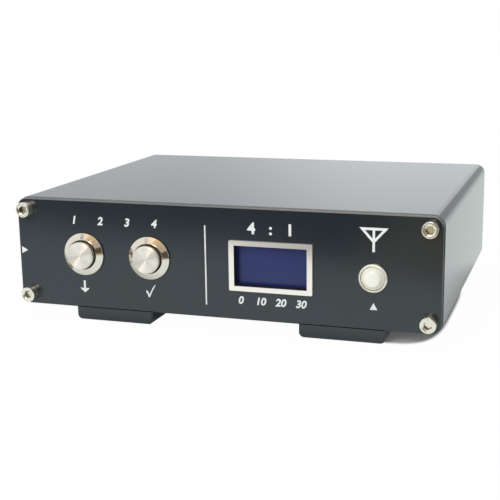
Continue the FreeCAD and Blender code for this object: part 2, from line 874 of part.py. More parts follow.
def inlet_nut():
    return nut(inlet_nut_size, inlet_nut_thickness, inlet_thread_radius + thread_gap,
               body_rear - inlet_nut_thickness, inlet_x, 0, corner_up)


def inlet_lead():
    return flat_lead(2 * lead_core_pitch, inlet_x, inlet_front, 0, -ribbon_run, ribbon_bend,
                     ribbon_thickness)


# Main board

def main_board():
    width = case_width - 2 * case_wall - 2 * board_side_gap
    return block(width, board_front, board_rear - board_front, 0, board_bottom, board_thickness)


def antenna_relays():
    relays = []
    for name, x in socket_places.items():
        if name.startswith("antenna"):
            case = block(relay_width, relay_row_depth, relay_length, x, board_top, relay_height)
            relays.append(case.makeFillet(relay_corner_radius, edges_along(case, FreeCAD.Vector(0, 0, 1))))
    return relays


def controller_chip():
    return block(chip_size, chip_depth, chip_size, chip_x, board_top, chip_height)


def smoothing_capacitor():
    can = upright(capacitor_radius, capacitor_x, capacitor_depth, board_top, capacitor_height)
    groove = upright(capacitor_radius, capacitor_x, capacitor_depth,
                     board_top + capacitor_crimp_height, capacitor_crimp_height / 2)
    core = upright(capacitor_crimp_radius, capacitor_x, capacitor_depth, board_top, capacitor_height)
    return can.cut(groove.cut(core))


# Writing the pieces

def place(made):
    """One shape at its final place, from one solid or a list of separate solids."""
    shape = Part.makeCompound(made) if isinstance(made, list) else made
    shape = shape.copy()
    shape.translate(origin_shift)
    return shape


single_pieces = [body_shell, front_panel, rear_panel, front_panel_screws, rear_panel_screws,
                 foot_rail_screws, button_terminals, button_leads, display_bezel, display_glass,
                 display_board, display_spacers, display_screws, display_header, display_cable,
                 indicator_holder, indicator_lens, indicator_diode, indicator_nut, indicator_lead,
                 socket_insulators, socket_washers, socket_nuts, radio_links, inlet_housing,
                 inlet_pin, inlet_nut, inlet_lead, main_board, antenna_relays, controller_chip,
                 smoothing_capacitor]
button_pieces = {"bushing": button_bushing, "cap": button_cap, "spring": button_spring,
                 "switch_block": button_switch_block, "seal": button_seal, "nut": button_nut}

pieces = {make.__name__: make() for make in single_pieces}
pieces["foot_rail_left"] = foot_rail(-1)
pieces["foot_rail_right"] = foot_rail(1)
for button, button_x in button_places.items():
    for piece, make in button_pieces.items():
        pieces["%s_button_%s" % (button, piece)] = make(button_x)
for socket, socket_x in socket_places.items():
    pieces[socket + "_shell"] = socket_shell(socket_x)
    pieces[socket + "_contact"] = socket_contact(socket_x)

os.makedirs("parts", exist_ok=True)
for name, made in pieces.items():
    place(made).exportStep("parts/%s.step" % name)
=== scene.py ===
import json
import math

import bmesh
import bpy
from bpy.props import FloatProperty, FloatVectorProperty, PointerProperty
from mathutils import Matrix, Vector

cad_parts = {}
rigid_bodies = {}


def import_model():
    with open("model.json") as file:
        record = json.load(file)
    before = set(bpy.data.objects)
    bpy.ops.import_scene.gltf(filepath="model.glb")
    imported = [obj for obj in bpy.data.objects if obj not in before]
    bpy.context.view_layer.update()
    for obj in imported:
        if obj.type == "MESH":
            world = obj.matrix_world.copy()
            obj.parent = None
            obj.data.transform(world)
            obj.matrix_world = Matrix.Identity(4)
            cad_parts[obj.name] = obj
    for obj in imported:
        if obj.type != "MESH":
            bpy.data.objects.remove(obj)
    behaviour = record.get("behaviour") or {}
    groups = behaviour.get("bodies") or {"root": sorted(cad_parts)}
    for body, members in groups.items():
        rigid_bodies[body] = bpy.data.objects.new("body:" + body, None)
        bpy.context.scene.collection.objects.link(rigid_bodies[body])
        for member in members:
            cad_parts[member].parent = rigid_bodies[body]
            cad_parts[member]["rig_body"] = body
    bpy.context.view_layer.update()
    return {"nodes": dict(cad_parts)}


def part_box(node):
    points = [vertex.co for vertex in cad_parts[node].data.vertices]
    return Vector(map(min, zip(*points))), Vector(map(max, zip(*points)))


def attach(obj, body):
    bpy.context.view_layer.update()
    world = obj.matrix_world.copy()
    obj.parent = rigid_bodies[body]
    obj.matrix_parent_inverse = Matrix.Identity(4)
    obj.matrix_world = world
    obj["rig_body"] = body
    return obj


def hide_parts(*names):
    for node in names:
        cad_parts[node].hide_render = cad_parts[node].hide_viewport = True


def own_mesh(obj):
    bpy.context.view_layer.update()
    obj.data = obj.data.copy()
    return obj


bl_info = {
    "name": "Coaxial antenna switch",
    "version": (1, 0, 0),
    "blender": (4, 5, 0),
    "location": "View3D > Sidebar > Antenna switch",
    "description": "Finishes, fasteners, buttons, display, sockets and marks of a desk-top switch",
    "category": "Object",
}

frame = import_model()

MM = 0.001
FULL_TURN = 2 * math.pi
QUARTER_TURN = math.radians(90)
SIXTH_TURN = math.radians(60)

# Steps round the turned pieces
SCREW_STEPS = 72
BUTTON_STEPS = 128
LAMP_STEPS = 96
INLET_STEPS = 96
SOCKET_STEPS = 144
CONTACT_STEPS = 64

# Edges that bend by more than this stay sharp, and points nearer than this are one
SHARP_ANGLE = math.radians(38)
SAME_POINT = 1e-7


# Sizes and colours that a user would change

def length(label, words, millimetres):
    return FloatProperty(name=label, description=words, default=millimetres * MM, min=0.0,
                         subtype="DISTANCE", unit="LENGTH", precision=5)


def linear(code):
    """The linear colour of an sRGB hex value."""
    parts = [int(code[start:start + 2], 16) / 255 for start in (1, 3, 5)]
    return tuple(part / 12.92 if part <= 0.04045 else ((part + 0.055) / 1.055) ** 2.4
                 for part in parts)


def colour(label, words, code):
    return FloatVectorProperty(name=label, description=words, default=linear(code), min=0.0,
                               max=1.0, subtype="COLOR", size=3)


class SwitchSizes(bpy.types.PropertyGroup):
    """Sizes of what the finish adds to the plain pieces."""
    edge: length("Edge rounding", "Rounding of machined edges", 0.12)
    key_size: length("Key size", "Hexagon across the flats in the corner screws", 2.5)
    key_depth: length("Key depth", "Depth of the hexagon in the corner screws", 1.5)
    key_mouth: length("Key mouth", "Radius of the countersink round the hexagon", 1.75)
    head_radius: length("Head radius", "Radius of a corner screw's head", 2.5)
    head_knurl: length("Head knurl", "Depth of the grooves in a head's rim", 0.1)
    button_lip: length("Button lip", "Width of the flat lip round the button's bore", 0.35)
    button_bore: length("Button bore", "Radius of the bore that the cap slides in", 4.8)
    button_rim: length("Button rim", "Thickness of the flange at its outer edge", 0.35)
    button_guide: length("Button guide", "Radius of the wider bore behind the lip", 5.3)
    button_guide_depth: length("Guide depth", "Depth of the wider bore behind the lip", 2.8)
    sleeve_radius: length("Sleeve radius", "Radius of the sleeve behind the flange", 6.0)
    cap_radius: length("Cap radius", "Radius of the cap that is pressed", 4.5)
    cap_bevel: length("Cap bevel", "Bevel round the cap's face", 0.35)
    cap_pocket: length("Cap pocket", "Radius of the spring's pocket in the cap", 3.25)
    cap_face: length("Cap face", "Thickness of the cap's face", 2.2)
    cap_shoulder: length("Cap shoulder", "Length of the cap's shoulder", 1.6)
    cap_stem: length("Cap stem", "Radius of the stem that works the switch", 1.2)
    spring_wire: length("Spring wire", "Radius of the spring's wire", 0.25)
    lens_dome: length("Lens dome", "Radius of the lens's raised middle", 2.45)
    lens_cone: length("Lens cone", "Height of the lens's sloping shoulder", 1.2)
    lens_crown: length("Lens crown", "Height of the lens's domed middle", 0.5)
    holder_recess: length("Holder recess", "Radius of the recess that the lens sits in", 3.75)
    holder_bore: length("Holder bore", "Radius of the bore behind the recess", 2.7)
    holder_sleeve: length("Holder sleeve", "Radius of the holder behind the panel", 3.8)
    holder_floor: length("Holder floor", "Depth of the recess", 1.4)
    window_width: length("Window width", "Width of the display's window", 23.4)
    window_height: length("Window height", "Height of the display's window", 12.9)
    collar_wall: length("Collar wall", "Wall of the bezel's collar", 0.7)
    thread_pitch: length("Thread pitch", "Pitch of the sockets' 24 per inch thread", 1.058)
    thread_depth: length("Thread depth", "Depth of the sockets' thread", 0.4)
    flange_size: length("Socket flange", "Hexagon across the flats of a socket's flange", 19.0)
    flange_thickness: length("Flange thickness", "Thickness of a socket's flange", 2.5)
    thread_radius: length("Thread radius", "Outer radius of a socket's thread", 7.9)
    mouth_radius: length("Mouth radius", "Radius of a socket's mouth", 6.9)
    mouth_depth: length("Mouth depth", "Depth of a socket's mouth", 9.5)
    notch_width: length("Notch width", "Width of the notches round a socket's mouth", 1.6)
    notch_depth: length("Notch depth", "Depth of the notches round a socket's mouth", 1.2)
    notch_reach: length("Notch reach", "How far the notches cut into the rim", 0.5)
    neck_radius: length("Neck radius", "Radius of a socket's neck inside the panel", 6.8)
    neck_bore: length("Neck bore", "Radius of the neck's bore", 5.25)
    slit_width: length("Slit width", "Width of the slits in a centre contact", 0.35)
    slit_depth: length("Slit depth", "Depth of the slits in a centre contact", 5.0)
    ink: length("Ink", "Thickness of the printed marks", 0.02)
    number_height: length("Number height", "Height of the digits over the buttons", 2.7)
    ratio_height: length("Ratio height", "Height of the digits over the display", 3.7)
    scale_height: length("Scale height", "Height of the digits under the display", 2.5)
    socket_height: length("Socket number height", "Height of the digits over the sockets", 3.2)


class SwitchColours(bpy.types.PropertyGroup):
    """Colours of the finishes."""
    black: colour("Black", "Dyed oxide of the case", "#222B33")
    steel: colour("Steel", "Turned stainless steel", "#EDE8DA")
    button: colour("Button", "Polished stainless steel of the buttons", "#E2DACF")
    cap: colour("Cap", "Spun stainless steel of the buttons' caps", "#FFFAF0")
    chrome: colour("Chrome", "Plating of the indicator's ring", "#F4F2EA")
    nickel: colour("Nickel", "Nickel plating of the sockets", "#CFC9BC")
    bezel: colour("Bezel", "Brushed metal of the display's frame", "#FBF4EE")
    glass: colour("Glass", "Dark display glass", "#1D2968")
    lens: colour("Lens", "Moulded lens of the indicator", "#FFFFF4")
    ink: colour("Ink", "Printed marks", "#F4F7F6")
    silver: colour("Silver", "Plating of the contacts", "#D8D2C4")
    board: colour("Board", "Solder mask of the boards", "#0D4A2C")


class StageSettings(bpy.types.PropertyGroup):
    """Camera and light."""
    lens: FloatProperty(name="Lens", description="Focal length in millimetres", default=75.35)
    place: FloatVectorProperty(name="Camera place", description="Where the camera stands",
                               default=(0.110835, -0.358294, 0.098001), subtype="TRANSLATION")
    turn: FloatVectorProperty(name="Camera turn", description="How the camera is turned",
                              default=tuple(map(math.radians, (77.2658, 0.8258, 18.3302))),
                              subtype="EULER")
    ambient: FloatProperty(name="Ambient", description="Strength of the light from all round",
                           default=0.25)
    overhead: FloatProperty(name="Overhead", description="Power of the overhead softbox",
                            default=7.0, unit="POWER")
    key: FloatProperty(name="Key", description="Power of the softbox at the front left",
                       default=9.6, unit="POWER")


# Mesh building

def centre(node):
    low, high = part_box(node)
    return (low + high) / 2


def half_width(node):
    low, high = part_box(node)
    return (high.x - low.x) / 2


def axis_of(node):
    """The line along Y through a node's middle, as its point at depth zero."""
    low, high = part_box(node)
    return Vector(((low.x + high.x) / 2, 0, (low.z + high.z) / 2))


def eased(outline, size, closed=False, cuts=3):
    """An outline of (depth, reach) points with each corner rounded by that size."""
    most_of_a_side = 0.45
    points = [Vector(point) for point in outline]
    last = len(points) - 1
    smooth = []
    for index, corner in enumerate(points):
        if not closed and index in (0, last):
            smooth.append(corner)
            continue
        before = points[index - 1] - corner
        after = points[(index + 1) % len(points)] - corner
        start = corner + before * min(size / before.length, most_of_a_side)
        end = corner + after * min(size / after.length, most_of_a_side)
        for cut in range(cuts + 1):
            share = cut / cuts
            smooth.append(start * (1 - share) ** 2 + corner * 2 * share * (1 - share)
                          + end * share ** 2)
    return [tuple(point) for point in smooth]


def ring(depth, reach, steps, axis=Vector((0, 0, 0))):
    """A loop round an axis along Y. The reach is one radius, or a function of the angle."""
    loop = []
    for step in range(steps):
        angle = FULL_TURN * step / steps
        radius = reach(angle) if callable(reach) else reach
        loop.append(axis + Vector((radius * math.cos(angle), depth, radius * math.sin(angle))))
    return loop


def hexagon(flats, limit=math.inf, first_corner=QUARTER_TURN):
    """The reach of a hexagon whose corners are turned off at the limit."""
    def reach(angle):
        from_flat = (angle - first_corner) % SIXTH_TURN - SIXTH_TURN / 2
        return min(limit, flats / 2 / math.cos(from_flat))
    return reach


def rectangle(depth, half_x, half_z, corner, steps=6):
    """A loop round a rectangle with rounded corners, in a plane across Y."""
    loop = []
    for quarter, (side, level) in enumerate(((1, 1), (-1, 1), (-1, -1), (1, -1))):
        for step in range(steps + 1):
            angle = QUARTER_TURN * (quarter + step / steps)
            loop.append(Vector((side * (half_x - corner) + corner * math.cos(angle), depth,
                                level * (half_z - corner) + corner * math.sin(angle))))
    return loop


def join_loops(mesh, loops, closed=False):
    """Adds the surface through loops of equally many points."""
    rows = [[mesh.verts.new(point) for point in loop] for loop in loops]
    following = rows[1:] + rows[:1] if closed else rows[1:]
    for near, far in zip(rows, following):
        for index in range(len(near)):
            other = (index + 1) % len(near)
            mesh.faces.new((near[index], near[other], far[other], far[index]))


def turned_mesh(outline, steps, closed=False):
    """A mesh turned round the Y axis from an outline of (depth, reach) points."""
    mesh = bmesh.new()
    join_loops(mesh, [ring(depth, reach, steps) for depth, reach in outline], closed)
    return mesh


def make_piece(name, mesh, material, nodes, place=Vector((0, 0, 0)), inside=None, is_inside=None):
    """Makes a piece from a built mesh. It stands for the nodes and rides with their body.

    Where is_inside holds for a face's middle, the face gets the inside material.
    """
    bmesh.ops.remove_doubles(mesh, verts=mesh.verts, dist=SAME_POINT)
    bmesh.ops.recalc_face_normals(mesh, faces=mesh.faces)
    data = bpy.data.meshes.new(name)
    mesh.to_mesh(data)
    mesh.free()
    data.materials.append(material)
    if inside:
        data.materials.append(inside)
        for face in data.polygons:
            face.material_index = int(is_inside(face.center))
    data.shade_smooth()
    data.set_sharp_from_angle(angle=SHARP_ANGLE)
    piece = bpy.data.objects.new(name, data)
    piece.location = place
    bpy.context.scene.collection.objects.link(piece)
    even = piece.modifiers.new("Even normals", "WEIGHTED_NORMAL")
    even.keep_sharp = True
    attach(piece, frame["nodes"][nodes[0]]["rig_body"])
    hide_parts(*nodes)
    return piece


def finish_node(material, *nodes):
    """Gives CAD nodes their material."""
    for node in nodes:
        data = frame["nodes"][node].data
        data.materials.clear()
        data.materials.append(material)


# Materials

# The mix node's colour sockets go by number, because its other kinds share their names
COLOUR_A, COLOUR_B, COLOUR_OUT = 6, 7, 2


def toned(base, share=1.0):
    """A colour made darker or lighter by that share, as a socket takes it."""
    return (*(min(1.0, share * part) for part in base), 1.0)


def add_node(tree, kind, inputs=None, **settings):
    """Adds a node. Each input is a value, or the output that feeds it."""
    node = tree.nodes.new(kind)
    for name, value in settings.items():
        setattr(node, name, value)
    for socket, value in (inputs or {}).items():
        if isinstance(value, bpy.types.NodeSocket):
            tree.links.new(value, node.inputs[socket])
        else:
            node.inputs[socket].default_value = value
    return node


def feed(tree, node, outputs):
    """Links each output to the node's socket of that name."""
    for socket, output in outputs.items():
        tree.links.new(output, node.inputs[socket])


def new_material(name):
    material = bpy.data.materials.new(name)
    material.use_nodes = True
    material.node_tree.nodes.clear()
    return material, material.node_tree


def new_surface(name, base, metallic, roughness, **sockets):
    """A material with one Principled shader. Underscores in a socket's name stand for spaces."""
    material, tree = new_material(name)
    inputs = {"Base Color": toned(base), "Metallic": metallic, "Roughness": roughness}
    inputs.update({socket.replace("_", " "): value for socket, value in sockets.items()})
    shader = add_node(tree, "ShaderNodeBsdfPrincipled", inputs)
    add_node(tree, "ShaderNodeOutputMaterial", {"Surface": shader.outputs["BSDF"]})
    return material, tree, shader


def add_grain(tree, shader, grain, height, low, high, stretch=(1.0, 1.0, 1.0)):
    """Fine grain of that size and height, which also moves the roughness from low to high."""
    place = add_node(tree, "ShaderNodeTexCoord")
    scaled = add_node(tree, "ShaderNodeMapping",
                      {"Vector": place.outputs["Object"], "Scale": stretch})
    noise = add_node(tree, "ShaderNodeTexNoise",
                     {"Vector": scaled.outputs["Vector"], "Scale": 1 / grain, "Detail": 3.0})
    spread = add_node(tree, "ShaderNodeMapRange",
                      {"Value": noise.outputs["Fac"], "From Min": 0.3, "From Max": 0.7,
                       "To Min": low, "To Max": high})
    bump = add_node(tree, "ShaderNodeBump", {"Height": noise.outputs["Fac"], "Distance": height})
    feed(tree, shader, {"Roughness": spread.outputs["Result"], "Normal": bump.outputs["Normal"]})
    return scaled


def waves(size):
    """The scale at which a wave texture repeats after that size."""
    radians_per_metre = 20
    return FULL_TURN / (radians_per_metre * size)


def black_oxide(name, base, low, high, bare_and_highlight):
    """Aluminium, bead blasted, anodised and dyed black.

    The oxide is glass-like and hides the metal: deep grey face on, pale at a low angle. The
    blasting scatters what it mirrors. Its real grain of 0.1 mm is drawn at 0.5 mm to show.
    Upper edges broken after dyeing show that share of light, uncoated metal: partly a painted
    highlight.
    """
    material, tree, shader = new_surface(name, base, 0.0, low, IOR=1.6)
    scaled = add_grain(tree, shader, 0.5 * MM, 0.0006 * MM, low, high)
    clouds = add_node(tree, "ShaderNodeTexNoise", {"Vector": scaled.outputs["Vector"],
                                                   "Scale": 1 / (22 * MM), "Detail": 2.0})
    dye = add_node(tree, "ShaderNodeMix",
                   {"Factor": clouds.outputs["Fac"], COLOUR_A: toned(base, 0.8),
                    COLOUR_B: toned(base)}, data_type="RGBA")
    # Light uncoated metal on upper edges only: real broken edges, and a painted highlight where
    # light catches them.
    mask = bare_edge_and_highlight(tree, bare_and_highlight)
    surface = add_node(tree, "ShaderNodeMix",
                       {"Factor": mask, COLOUR_A: dye.outputs[COLOUR_OUT],
                        COLOUR_B: toned(linear("#DDDBD7"))}, data_type="RGBA")
    feed(tree, shader, {"Base Color": surface.outputs[COLOUR_OUT], "Metallic": mask})
    return material


def bare_edge_and_highlight(tree, most):
    """Uncoated edge and painted highlight: that share on faces sloping up from a front, else zero.
    """
    facing = add_node(tree, "ShaderNodeNewGeometry")
    parts = add_node(tree, "ShaderNodeSeparateXYZ", {"Vector": facing.outputs["True Normal"]})
    depth = add_node(tree, "ShaderNodeMath", {0: parts.outputs["Y"]}, operation="ABSOLUTE")
    sloping = add_node(tree, "ShaderNodeMath",
                       {0: depth.outputs["Value"], 1: math.sqrt(0.5), 2: 0.2},
                       operation="COMPARE")
    upper = add_node(tree, "ShaderNodeMapRange",
                     {"Value": parts.outputs["Z"], "From Min": 0.1, "From Max": 0.5,
                      "To Max": most})
    both = add_node(tree, "ShaderNodeMath",
                    {0: sloping.outputs["Value"], 1: upper.outputs["Result"]},
                    operation="MULTIPLY")
    return both.outputs["Value"]


def turned_metal(name, base, roughness, groove, height, metallic=1.0):
    """Metal turned on a lathe or drawn: fine rings round its axis catch the light.

    Below one, metallic stands for a satin finish that also scatters light all round.
    """
    material, tree, shader = new_surface(name, base, metallic, roughness)
    place = add_node(tree, "ShaderNodeTexCoord")
    rings = add_node(tree, "ShaderNodeTexWave",
                     {"Vector": place.outputs["Object"], "Scale": waves(groove),
                      "Distortion": 0.6, "Detail": 2.0, "Detail Scale": 1.5},
                     wave_type="RINGS", rings_direction="Y")
    bump = add_node(tree, "ShaderNodeBump", {"Height": rings.outputs["Fac"], "Distance": height})
    spread = add_node(tree, "ShaderNodeMapRange",
                      {"Value": rings.outputs["Fac"], "To Min": roughness * 0.85,
                       "To Max": roughness * 1.2})
    feed(tree, shader, {"Roughness": spread.outputs["Result"], "Normal": bump.outputs["Normal"]})
    return material


def spun_metal(name, base):
    """Stainless steel finished with a turning brush.

    The rings draw light into a bow tie, and rays of a slightly different tone run out from
    the middle. The quarter turn lays the wide side of the highlight across the rings.
    """
    material, tree, shader = new_surface(name, base, 0.65, 0.45, Anisotropic=0.9,
                                         Anisotropic_Rotation=0.25)
    tangent = add_node(tree, "ShaderNodeTangent", direction_type="RADIAL", axis="Y")
    place = add_node(tree, "ShaderNodeTexCoord")
    flat = add_node(tree, "ShaderNodeVectorMath", {0: place.outputs["Object"], 1: (1.0, 0.0, 1.0)},
                    operation="MULTIPLY")
    ray = add_node(tree, "ShaderNodeVectorMath", {0: flat.outputs["Vector"]}, operation="NORMALIZE")
    rays = add_node(tree, "ShaderNodeTexNoise", {"Vector": ray.outputs["Vector"], "Scale": 1.7,
                                                 "Detail": 5.0, "Roughness": 0.75})
    tone = add_node(tree, "ShaderNodeMapRange",
                    {"Value": rays.outputs["Fac"], "From Min": 0.35, "From Max": 0.65})
    blend = add_node(tree, "ShaderNodeMix",
                     {"Factor": tone.outputs["Result"], COLOUR_A: toned(base, 0.8),
                      COLOUR_B: toned(base)}, data_type="RGBA")
    gloss = add_node(tree, "ShaderNodeMapRange",
                     {"Value": rays.outputs["Fac"], "From Min": 0.35, "From Max": 0.65,
                      "To Min": 0.5, "To Max": 0.38})
    feed(tree, shader, {"Base Color": blend.outputs[COLOUR_OUT],
                        "Roughness": gloss.outputs["Result"],
                        "Tangent": tangent.outputs["Tangent"]})
    return material


def brushed_metal(name, base):
    """Metal brushed along its length and anodised clear: streaks 0.3 mm wide, many times as long.

    The oxide scatters part of the light, so the face stays pale where it mirrors something dark.
    """
    material, tree, shader = new_surface(name, base, 0.6, 0.14)
    add_grain(tree, shader, 0.3 * MM, 0.0003 * MM, 0.1, 0.18, (0.03, 1.0, 1.0))
    return material


def moulded_plastic(name, base, roughness):
    """Plastic, rubber or paint with a faint even grain, as from a spark-eroded mould."""
    material, tree, shader = new_surface(name, base, 0.0, roughness, IOR=1.53)
    add_grain(tree, shader, 0.4 * MM, 0.004 * MM, roughness * 0.9, roughness * 1.15)
    return material


def display_window(name, base):
    """Glass over a switched-off display: a soft gloss over deep blue."""
    material, tree, shader = new_surface(name, base, 0.0, 0.2, IOR=1.5)
    add_grain(tree, shader, 6 * MM, 0.001 * MM, 0.18, 0.24)
    return material


def frosted_lens(name, base):
    """Milky acrylic, moulded smooth: light sinks in and glows back softly."""
    material, tree, shader = new_surface(name, base, 0.0, 0.22, IOR=1.49,
                                         Subsurface_Weight=0.06,
                                         Subsurface_Radius=(1.0, 0.9, 0.7),
                                         Subsurface_Scale=0.3 * MM)
    add_grain(tree, shader, 1.5 * MM, 0.002 * MM, 0.18, 0.26)
    return material


def printed_ink(name, base):
    """Screen printed epoxy ink: matt, dense and a little uneven."""
    material, tree, shader = new_surface(name, base, 0.0, 0.55, IOR=1.5)
    add_grain(tree, shader, 0.25 * MM, 0.003 * MM, 0.5, 0.65)
    return material


def solder_mask(name, base):
    """Glass fibre board under solder mask, with copper tracks 0.5 mm wide showing through it."""
    material, tree, shader = new_surface(name, base, 0.0, 0.35, IOR=1.55, Coat_Weight=0.6)
    place = add_node(tree, "ShaderNodeTexCoord")
    tracks = add_node(tree, "ShaderNodeTexBrick",
                      {"Vector": place.outputs["Object"], "Scale": 1.0, "Mortar Size": 0.5 * MM,
                       "Brick Width": 9 * MM, "Row Height": 3 * MM, "Color1": toned(base),
                       "Color2": toned(base, 0.85), "Mortar": toned(base, 1.9)})
    bump = add_node(tree, "ShaderNodeBump",
                    {"Height": tracks.outputs["Fac"], "Distance": 0.03 * MM})
    feed(tree, shader, {"Base Color": tracks.outputs["Color"], "Normal": bump.outputs["Normal"]})
    return material


def ribbed_cable(name, base):
    """Flat cable: insulated cores side by side, 1.27 mm apart."""
    material, tree, shader = new_surface(name, base, 0.0, 0.45, IOR=1.54)
    place = add_node(tree, "ShaderNodeTexCoord")
    cores = add_node(tree, "ShaderNodeTexWave", {"Vector": place.outputs["Object"],
                                                 "Scale": waves(1.27 * MM)},
                     wave_type="BANDS", bands_direction="X", wave_profile="SIN")
    bump = add_node(tree, "ShaderNodeBump", {"Height": cores.outputs["Fac"], "Distance": 0.3 * MM})
    shade = add_node(tree, "ShaderNodeMapRange", {"Value": cores.outputs["Fac"],
                                                  "To Min": 0.4, "To Max": 0.55})
    feed(tree, shader, {"Roughness": shade.outputs["Result"], "Normal": bump.outputs["Normal"]})
    return material


# Pieces

def build_case(colours):
    """Extruded parts are smoother than plates, with more light metal on edges: partly painted
    highlight.
    """
    finish_node(black_oxide("Black anodised aluminium, extruded", colours.black,
                            low=0.11, high=0.15, bare_and_highlight=0.2),
                "body_shell", "foot_rail_left", "foot_rail_right")
    finish_node(black_oxide("Black anodised aluminium, plate", colours.black,
                            low=0.18, high=0.22, bare_and_highlight=0.18),
                "front_panel", "rear_panel")


def knurled(radius, depth):
    """The reach of a rim with straight grooves, one on every second step of its ring."""
    def reach(angle):
        return radius - depth * (round(SCREW_STEPS * angle / FULL_TURN) % 2)
    return reach


def add_screw(mesh, sizes, axis, seat, inward, turn, head_height, shank_radius, shank_length):
    """Adds a socket head screw. Its shank runs from the seat along Y times inward, 1 or -1."""
    top = -head_height
    bottom = top + sizes.key_depth
    radius = sizes.head_radius
    key = hexagon(sizes.key_size, first_corner=turn)
    key_chamfer, shank_chamfer = 0.3 * MM, 0.4 * MM
    rim = knurled(radius, sizes.head_knurl)
    knurl_start, knurl_end = top + 0.5 * MM, -0.3 * MM
    # The key socket, the head's rounded top, its knurl and rounded foot, and the shank
    profile = [(bottom, 0.0), (bottom, key), (top + key_chamfer, key), (top, sizes.key_mouth),
               (top, radius - 0.22 * MM), (top + 0.06 * MM, radius - 0.08 * MM),
               (top + 0.3 * MM, radius - 0.02 * MM), (knurl_start, rim), (knurl_end, rim),
               (-0.1 * MM, radius - 0.05 * MM), (0.0, radius - 0.1 * MM),
               (0.0, shank_radius), (shank_length - shank_chamfer, shank_radius),
               (shank_length, shank_radius - shank_chamfer), (shank_length, 0.0)]
    join_loops(mesh, [ring(seat + inward * depth, reach, SCREW_STEPS, axis)
                      for depth, reach in profile])


def build_screws(sizes, colours):
    """The corner screws of both panels. Their darker rims and key sockets are painted shade."""
    material = turned_metal("Stainless steel, turned", colours.steel, 0.2, 0.2 * MM, 0.0004 * MM,
                            metallic=0.88)
    # Painted shade: darker steel on the rims and the key sockets' walls.
    painted_shade = turned_metal("Stainless steel, cold formed_painted_shade", linear("#7C776D"), 0.22, 0.3 * MM,
                        0.0005 * MM)
    shank_radius = 1.45 * MM
    # The painted shade lies between these, from the head's face and from the key socket's floor
    face_depth, floor_height = 0.35 * MM, 0.1 * MM
    # How far each screw came to rest, in degrees, corner by corner
    key_turns = (10, 40, 25, 5)
    for node, panel, inward in (("front_panel_screws", "front_panel", 1),
                                ("rear_panel_screws", "rear_panel", -1)):
        low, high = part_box(node)
        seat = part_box(panel)[0].y if inward == 1 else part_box(panel)[1].y
        head_height = abs((low.y if inward == 1 else high.y) - seat)
        shank_length = (high.y - low.y) - head_height
        corners = [(x, z) for x in (low.x + sizes.head_radius, high.x - sizes.head_radius)
                   for z in (low.z + sizes.head_radius, high.z - sizes.head_radius)]
        mesh = bmesh.new()
        for (x, z), degrees in zip(corners, key_turns):
            add_screw(mesh, sizes, Vector((x, 0, z)), seat, inward, math.radians(degrees),
                      head_height, shank_radius, shank_length)
        top = seat - inward * head_height
        make_piece(node + "_turned", mesh, material, [node], inside=painted_shade,
                   is_inside=lambda point: (face_depth < inward * (point.y - top)
                                            < sizes.key_depth - floor_height))
    finish_node(material, "foot_rail_screws", "display_screws", "display_spacers")


def build_button(name, sizes, materials):
    """The flanged sleeve, its cap and the return spring. Bore and cap wall get painted shade."""
    bushing, cap, spring = (name + "_button_" + part for part in ("bushing", "cap", "spring"))
    axis = axis_of(bushing)
    low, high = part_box(bushing)
    face = low.y
    flange = half_width(bushing)
    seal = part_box(name + "_button_seal")[0].y
    guide = face + sizes.button_guide_depth
    outline = [(face, sizes.button_bore), (face, sizes.button_bore + sizes.button_lip),
               (seal - sizes.button_rim, flange), (seal, flange), (seal, sizes.sleeve_radius),
               (high.y, sizes.sleeve_radius), (high.y, sizes.button_guide),
               (guide, sizes.button_guide), (guide, sizes.button_bore)]
    bright_lip, bore_margin = 0.15 * MM, 0.1 * MM
    # Painted shade in the bore, behind the bright lip.
    make_piece(bushing + "_polished",
               turned_mesh(eased(outline, sizes.edge, True), BUTTON_STEPS, True),
               materials["polished"], [bushing], axis, materials["painted_shade"],
               lambda point: (point.y > face + bright_lip
                              and math.hypot(point.x, point.z) < sizes.button_bore + bore_margin))

    low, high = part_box(cap)
    shoulder = half_width(cap)
    running_gap, bevel_margin = 0.05 * MM, 0.1 * MM
    shoulder_front = guide + running_gap
    shoulder_rear = shoulder_front + sizes.cap_shoulder
    pocket_floor = low.y + sizes.cap_face
    outline = [(low.y, 0.0), (low.y, sizes.cap_radius - sizes.cap_bevel),
               (low.y + sizes.cap_bevel, sizes.cap_radius)]
    groove_depth = 0.18 * MM
    for groove in (low.y + 0.75 * MM, low.y + 1.25 * MM):
        outline += [(groove, sizes.cap_radius),
                    (groove + groove_depth, sizes.cap_radius - groove_depth),
                    (groove + 2 * groove_depth, sizes.cap_radius)]
    outline += [(shoulder_front, sizes.cap_radius), (shoulder_front, shoulder),
                (shoulder_rear, shoulder), (shoulder_rear, sizes.cap_pocket),
                (pocket_floor, sizes.cap_pocket), (pocket_floor, sizes.cap_stem),
                (high.y, sizes.cap_stem), (high.y, 0.0)]
    # Painted shade on the cap's wall and grooves, behind its bevel.
    make_piece(cap + "_spun", turned_mesh(eased(outline, sizes.edge), BUTTON_STEPS),
               materials["spun"], [cap], axis, materials["painted_shade"],
               lambda point: point.y > low.y + sizes.cap_bevel + bevel_margin)
    build_spring(spring, sizes, materials["wire"], axis)


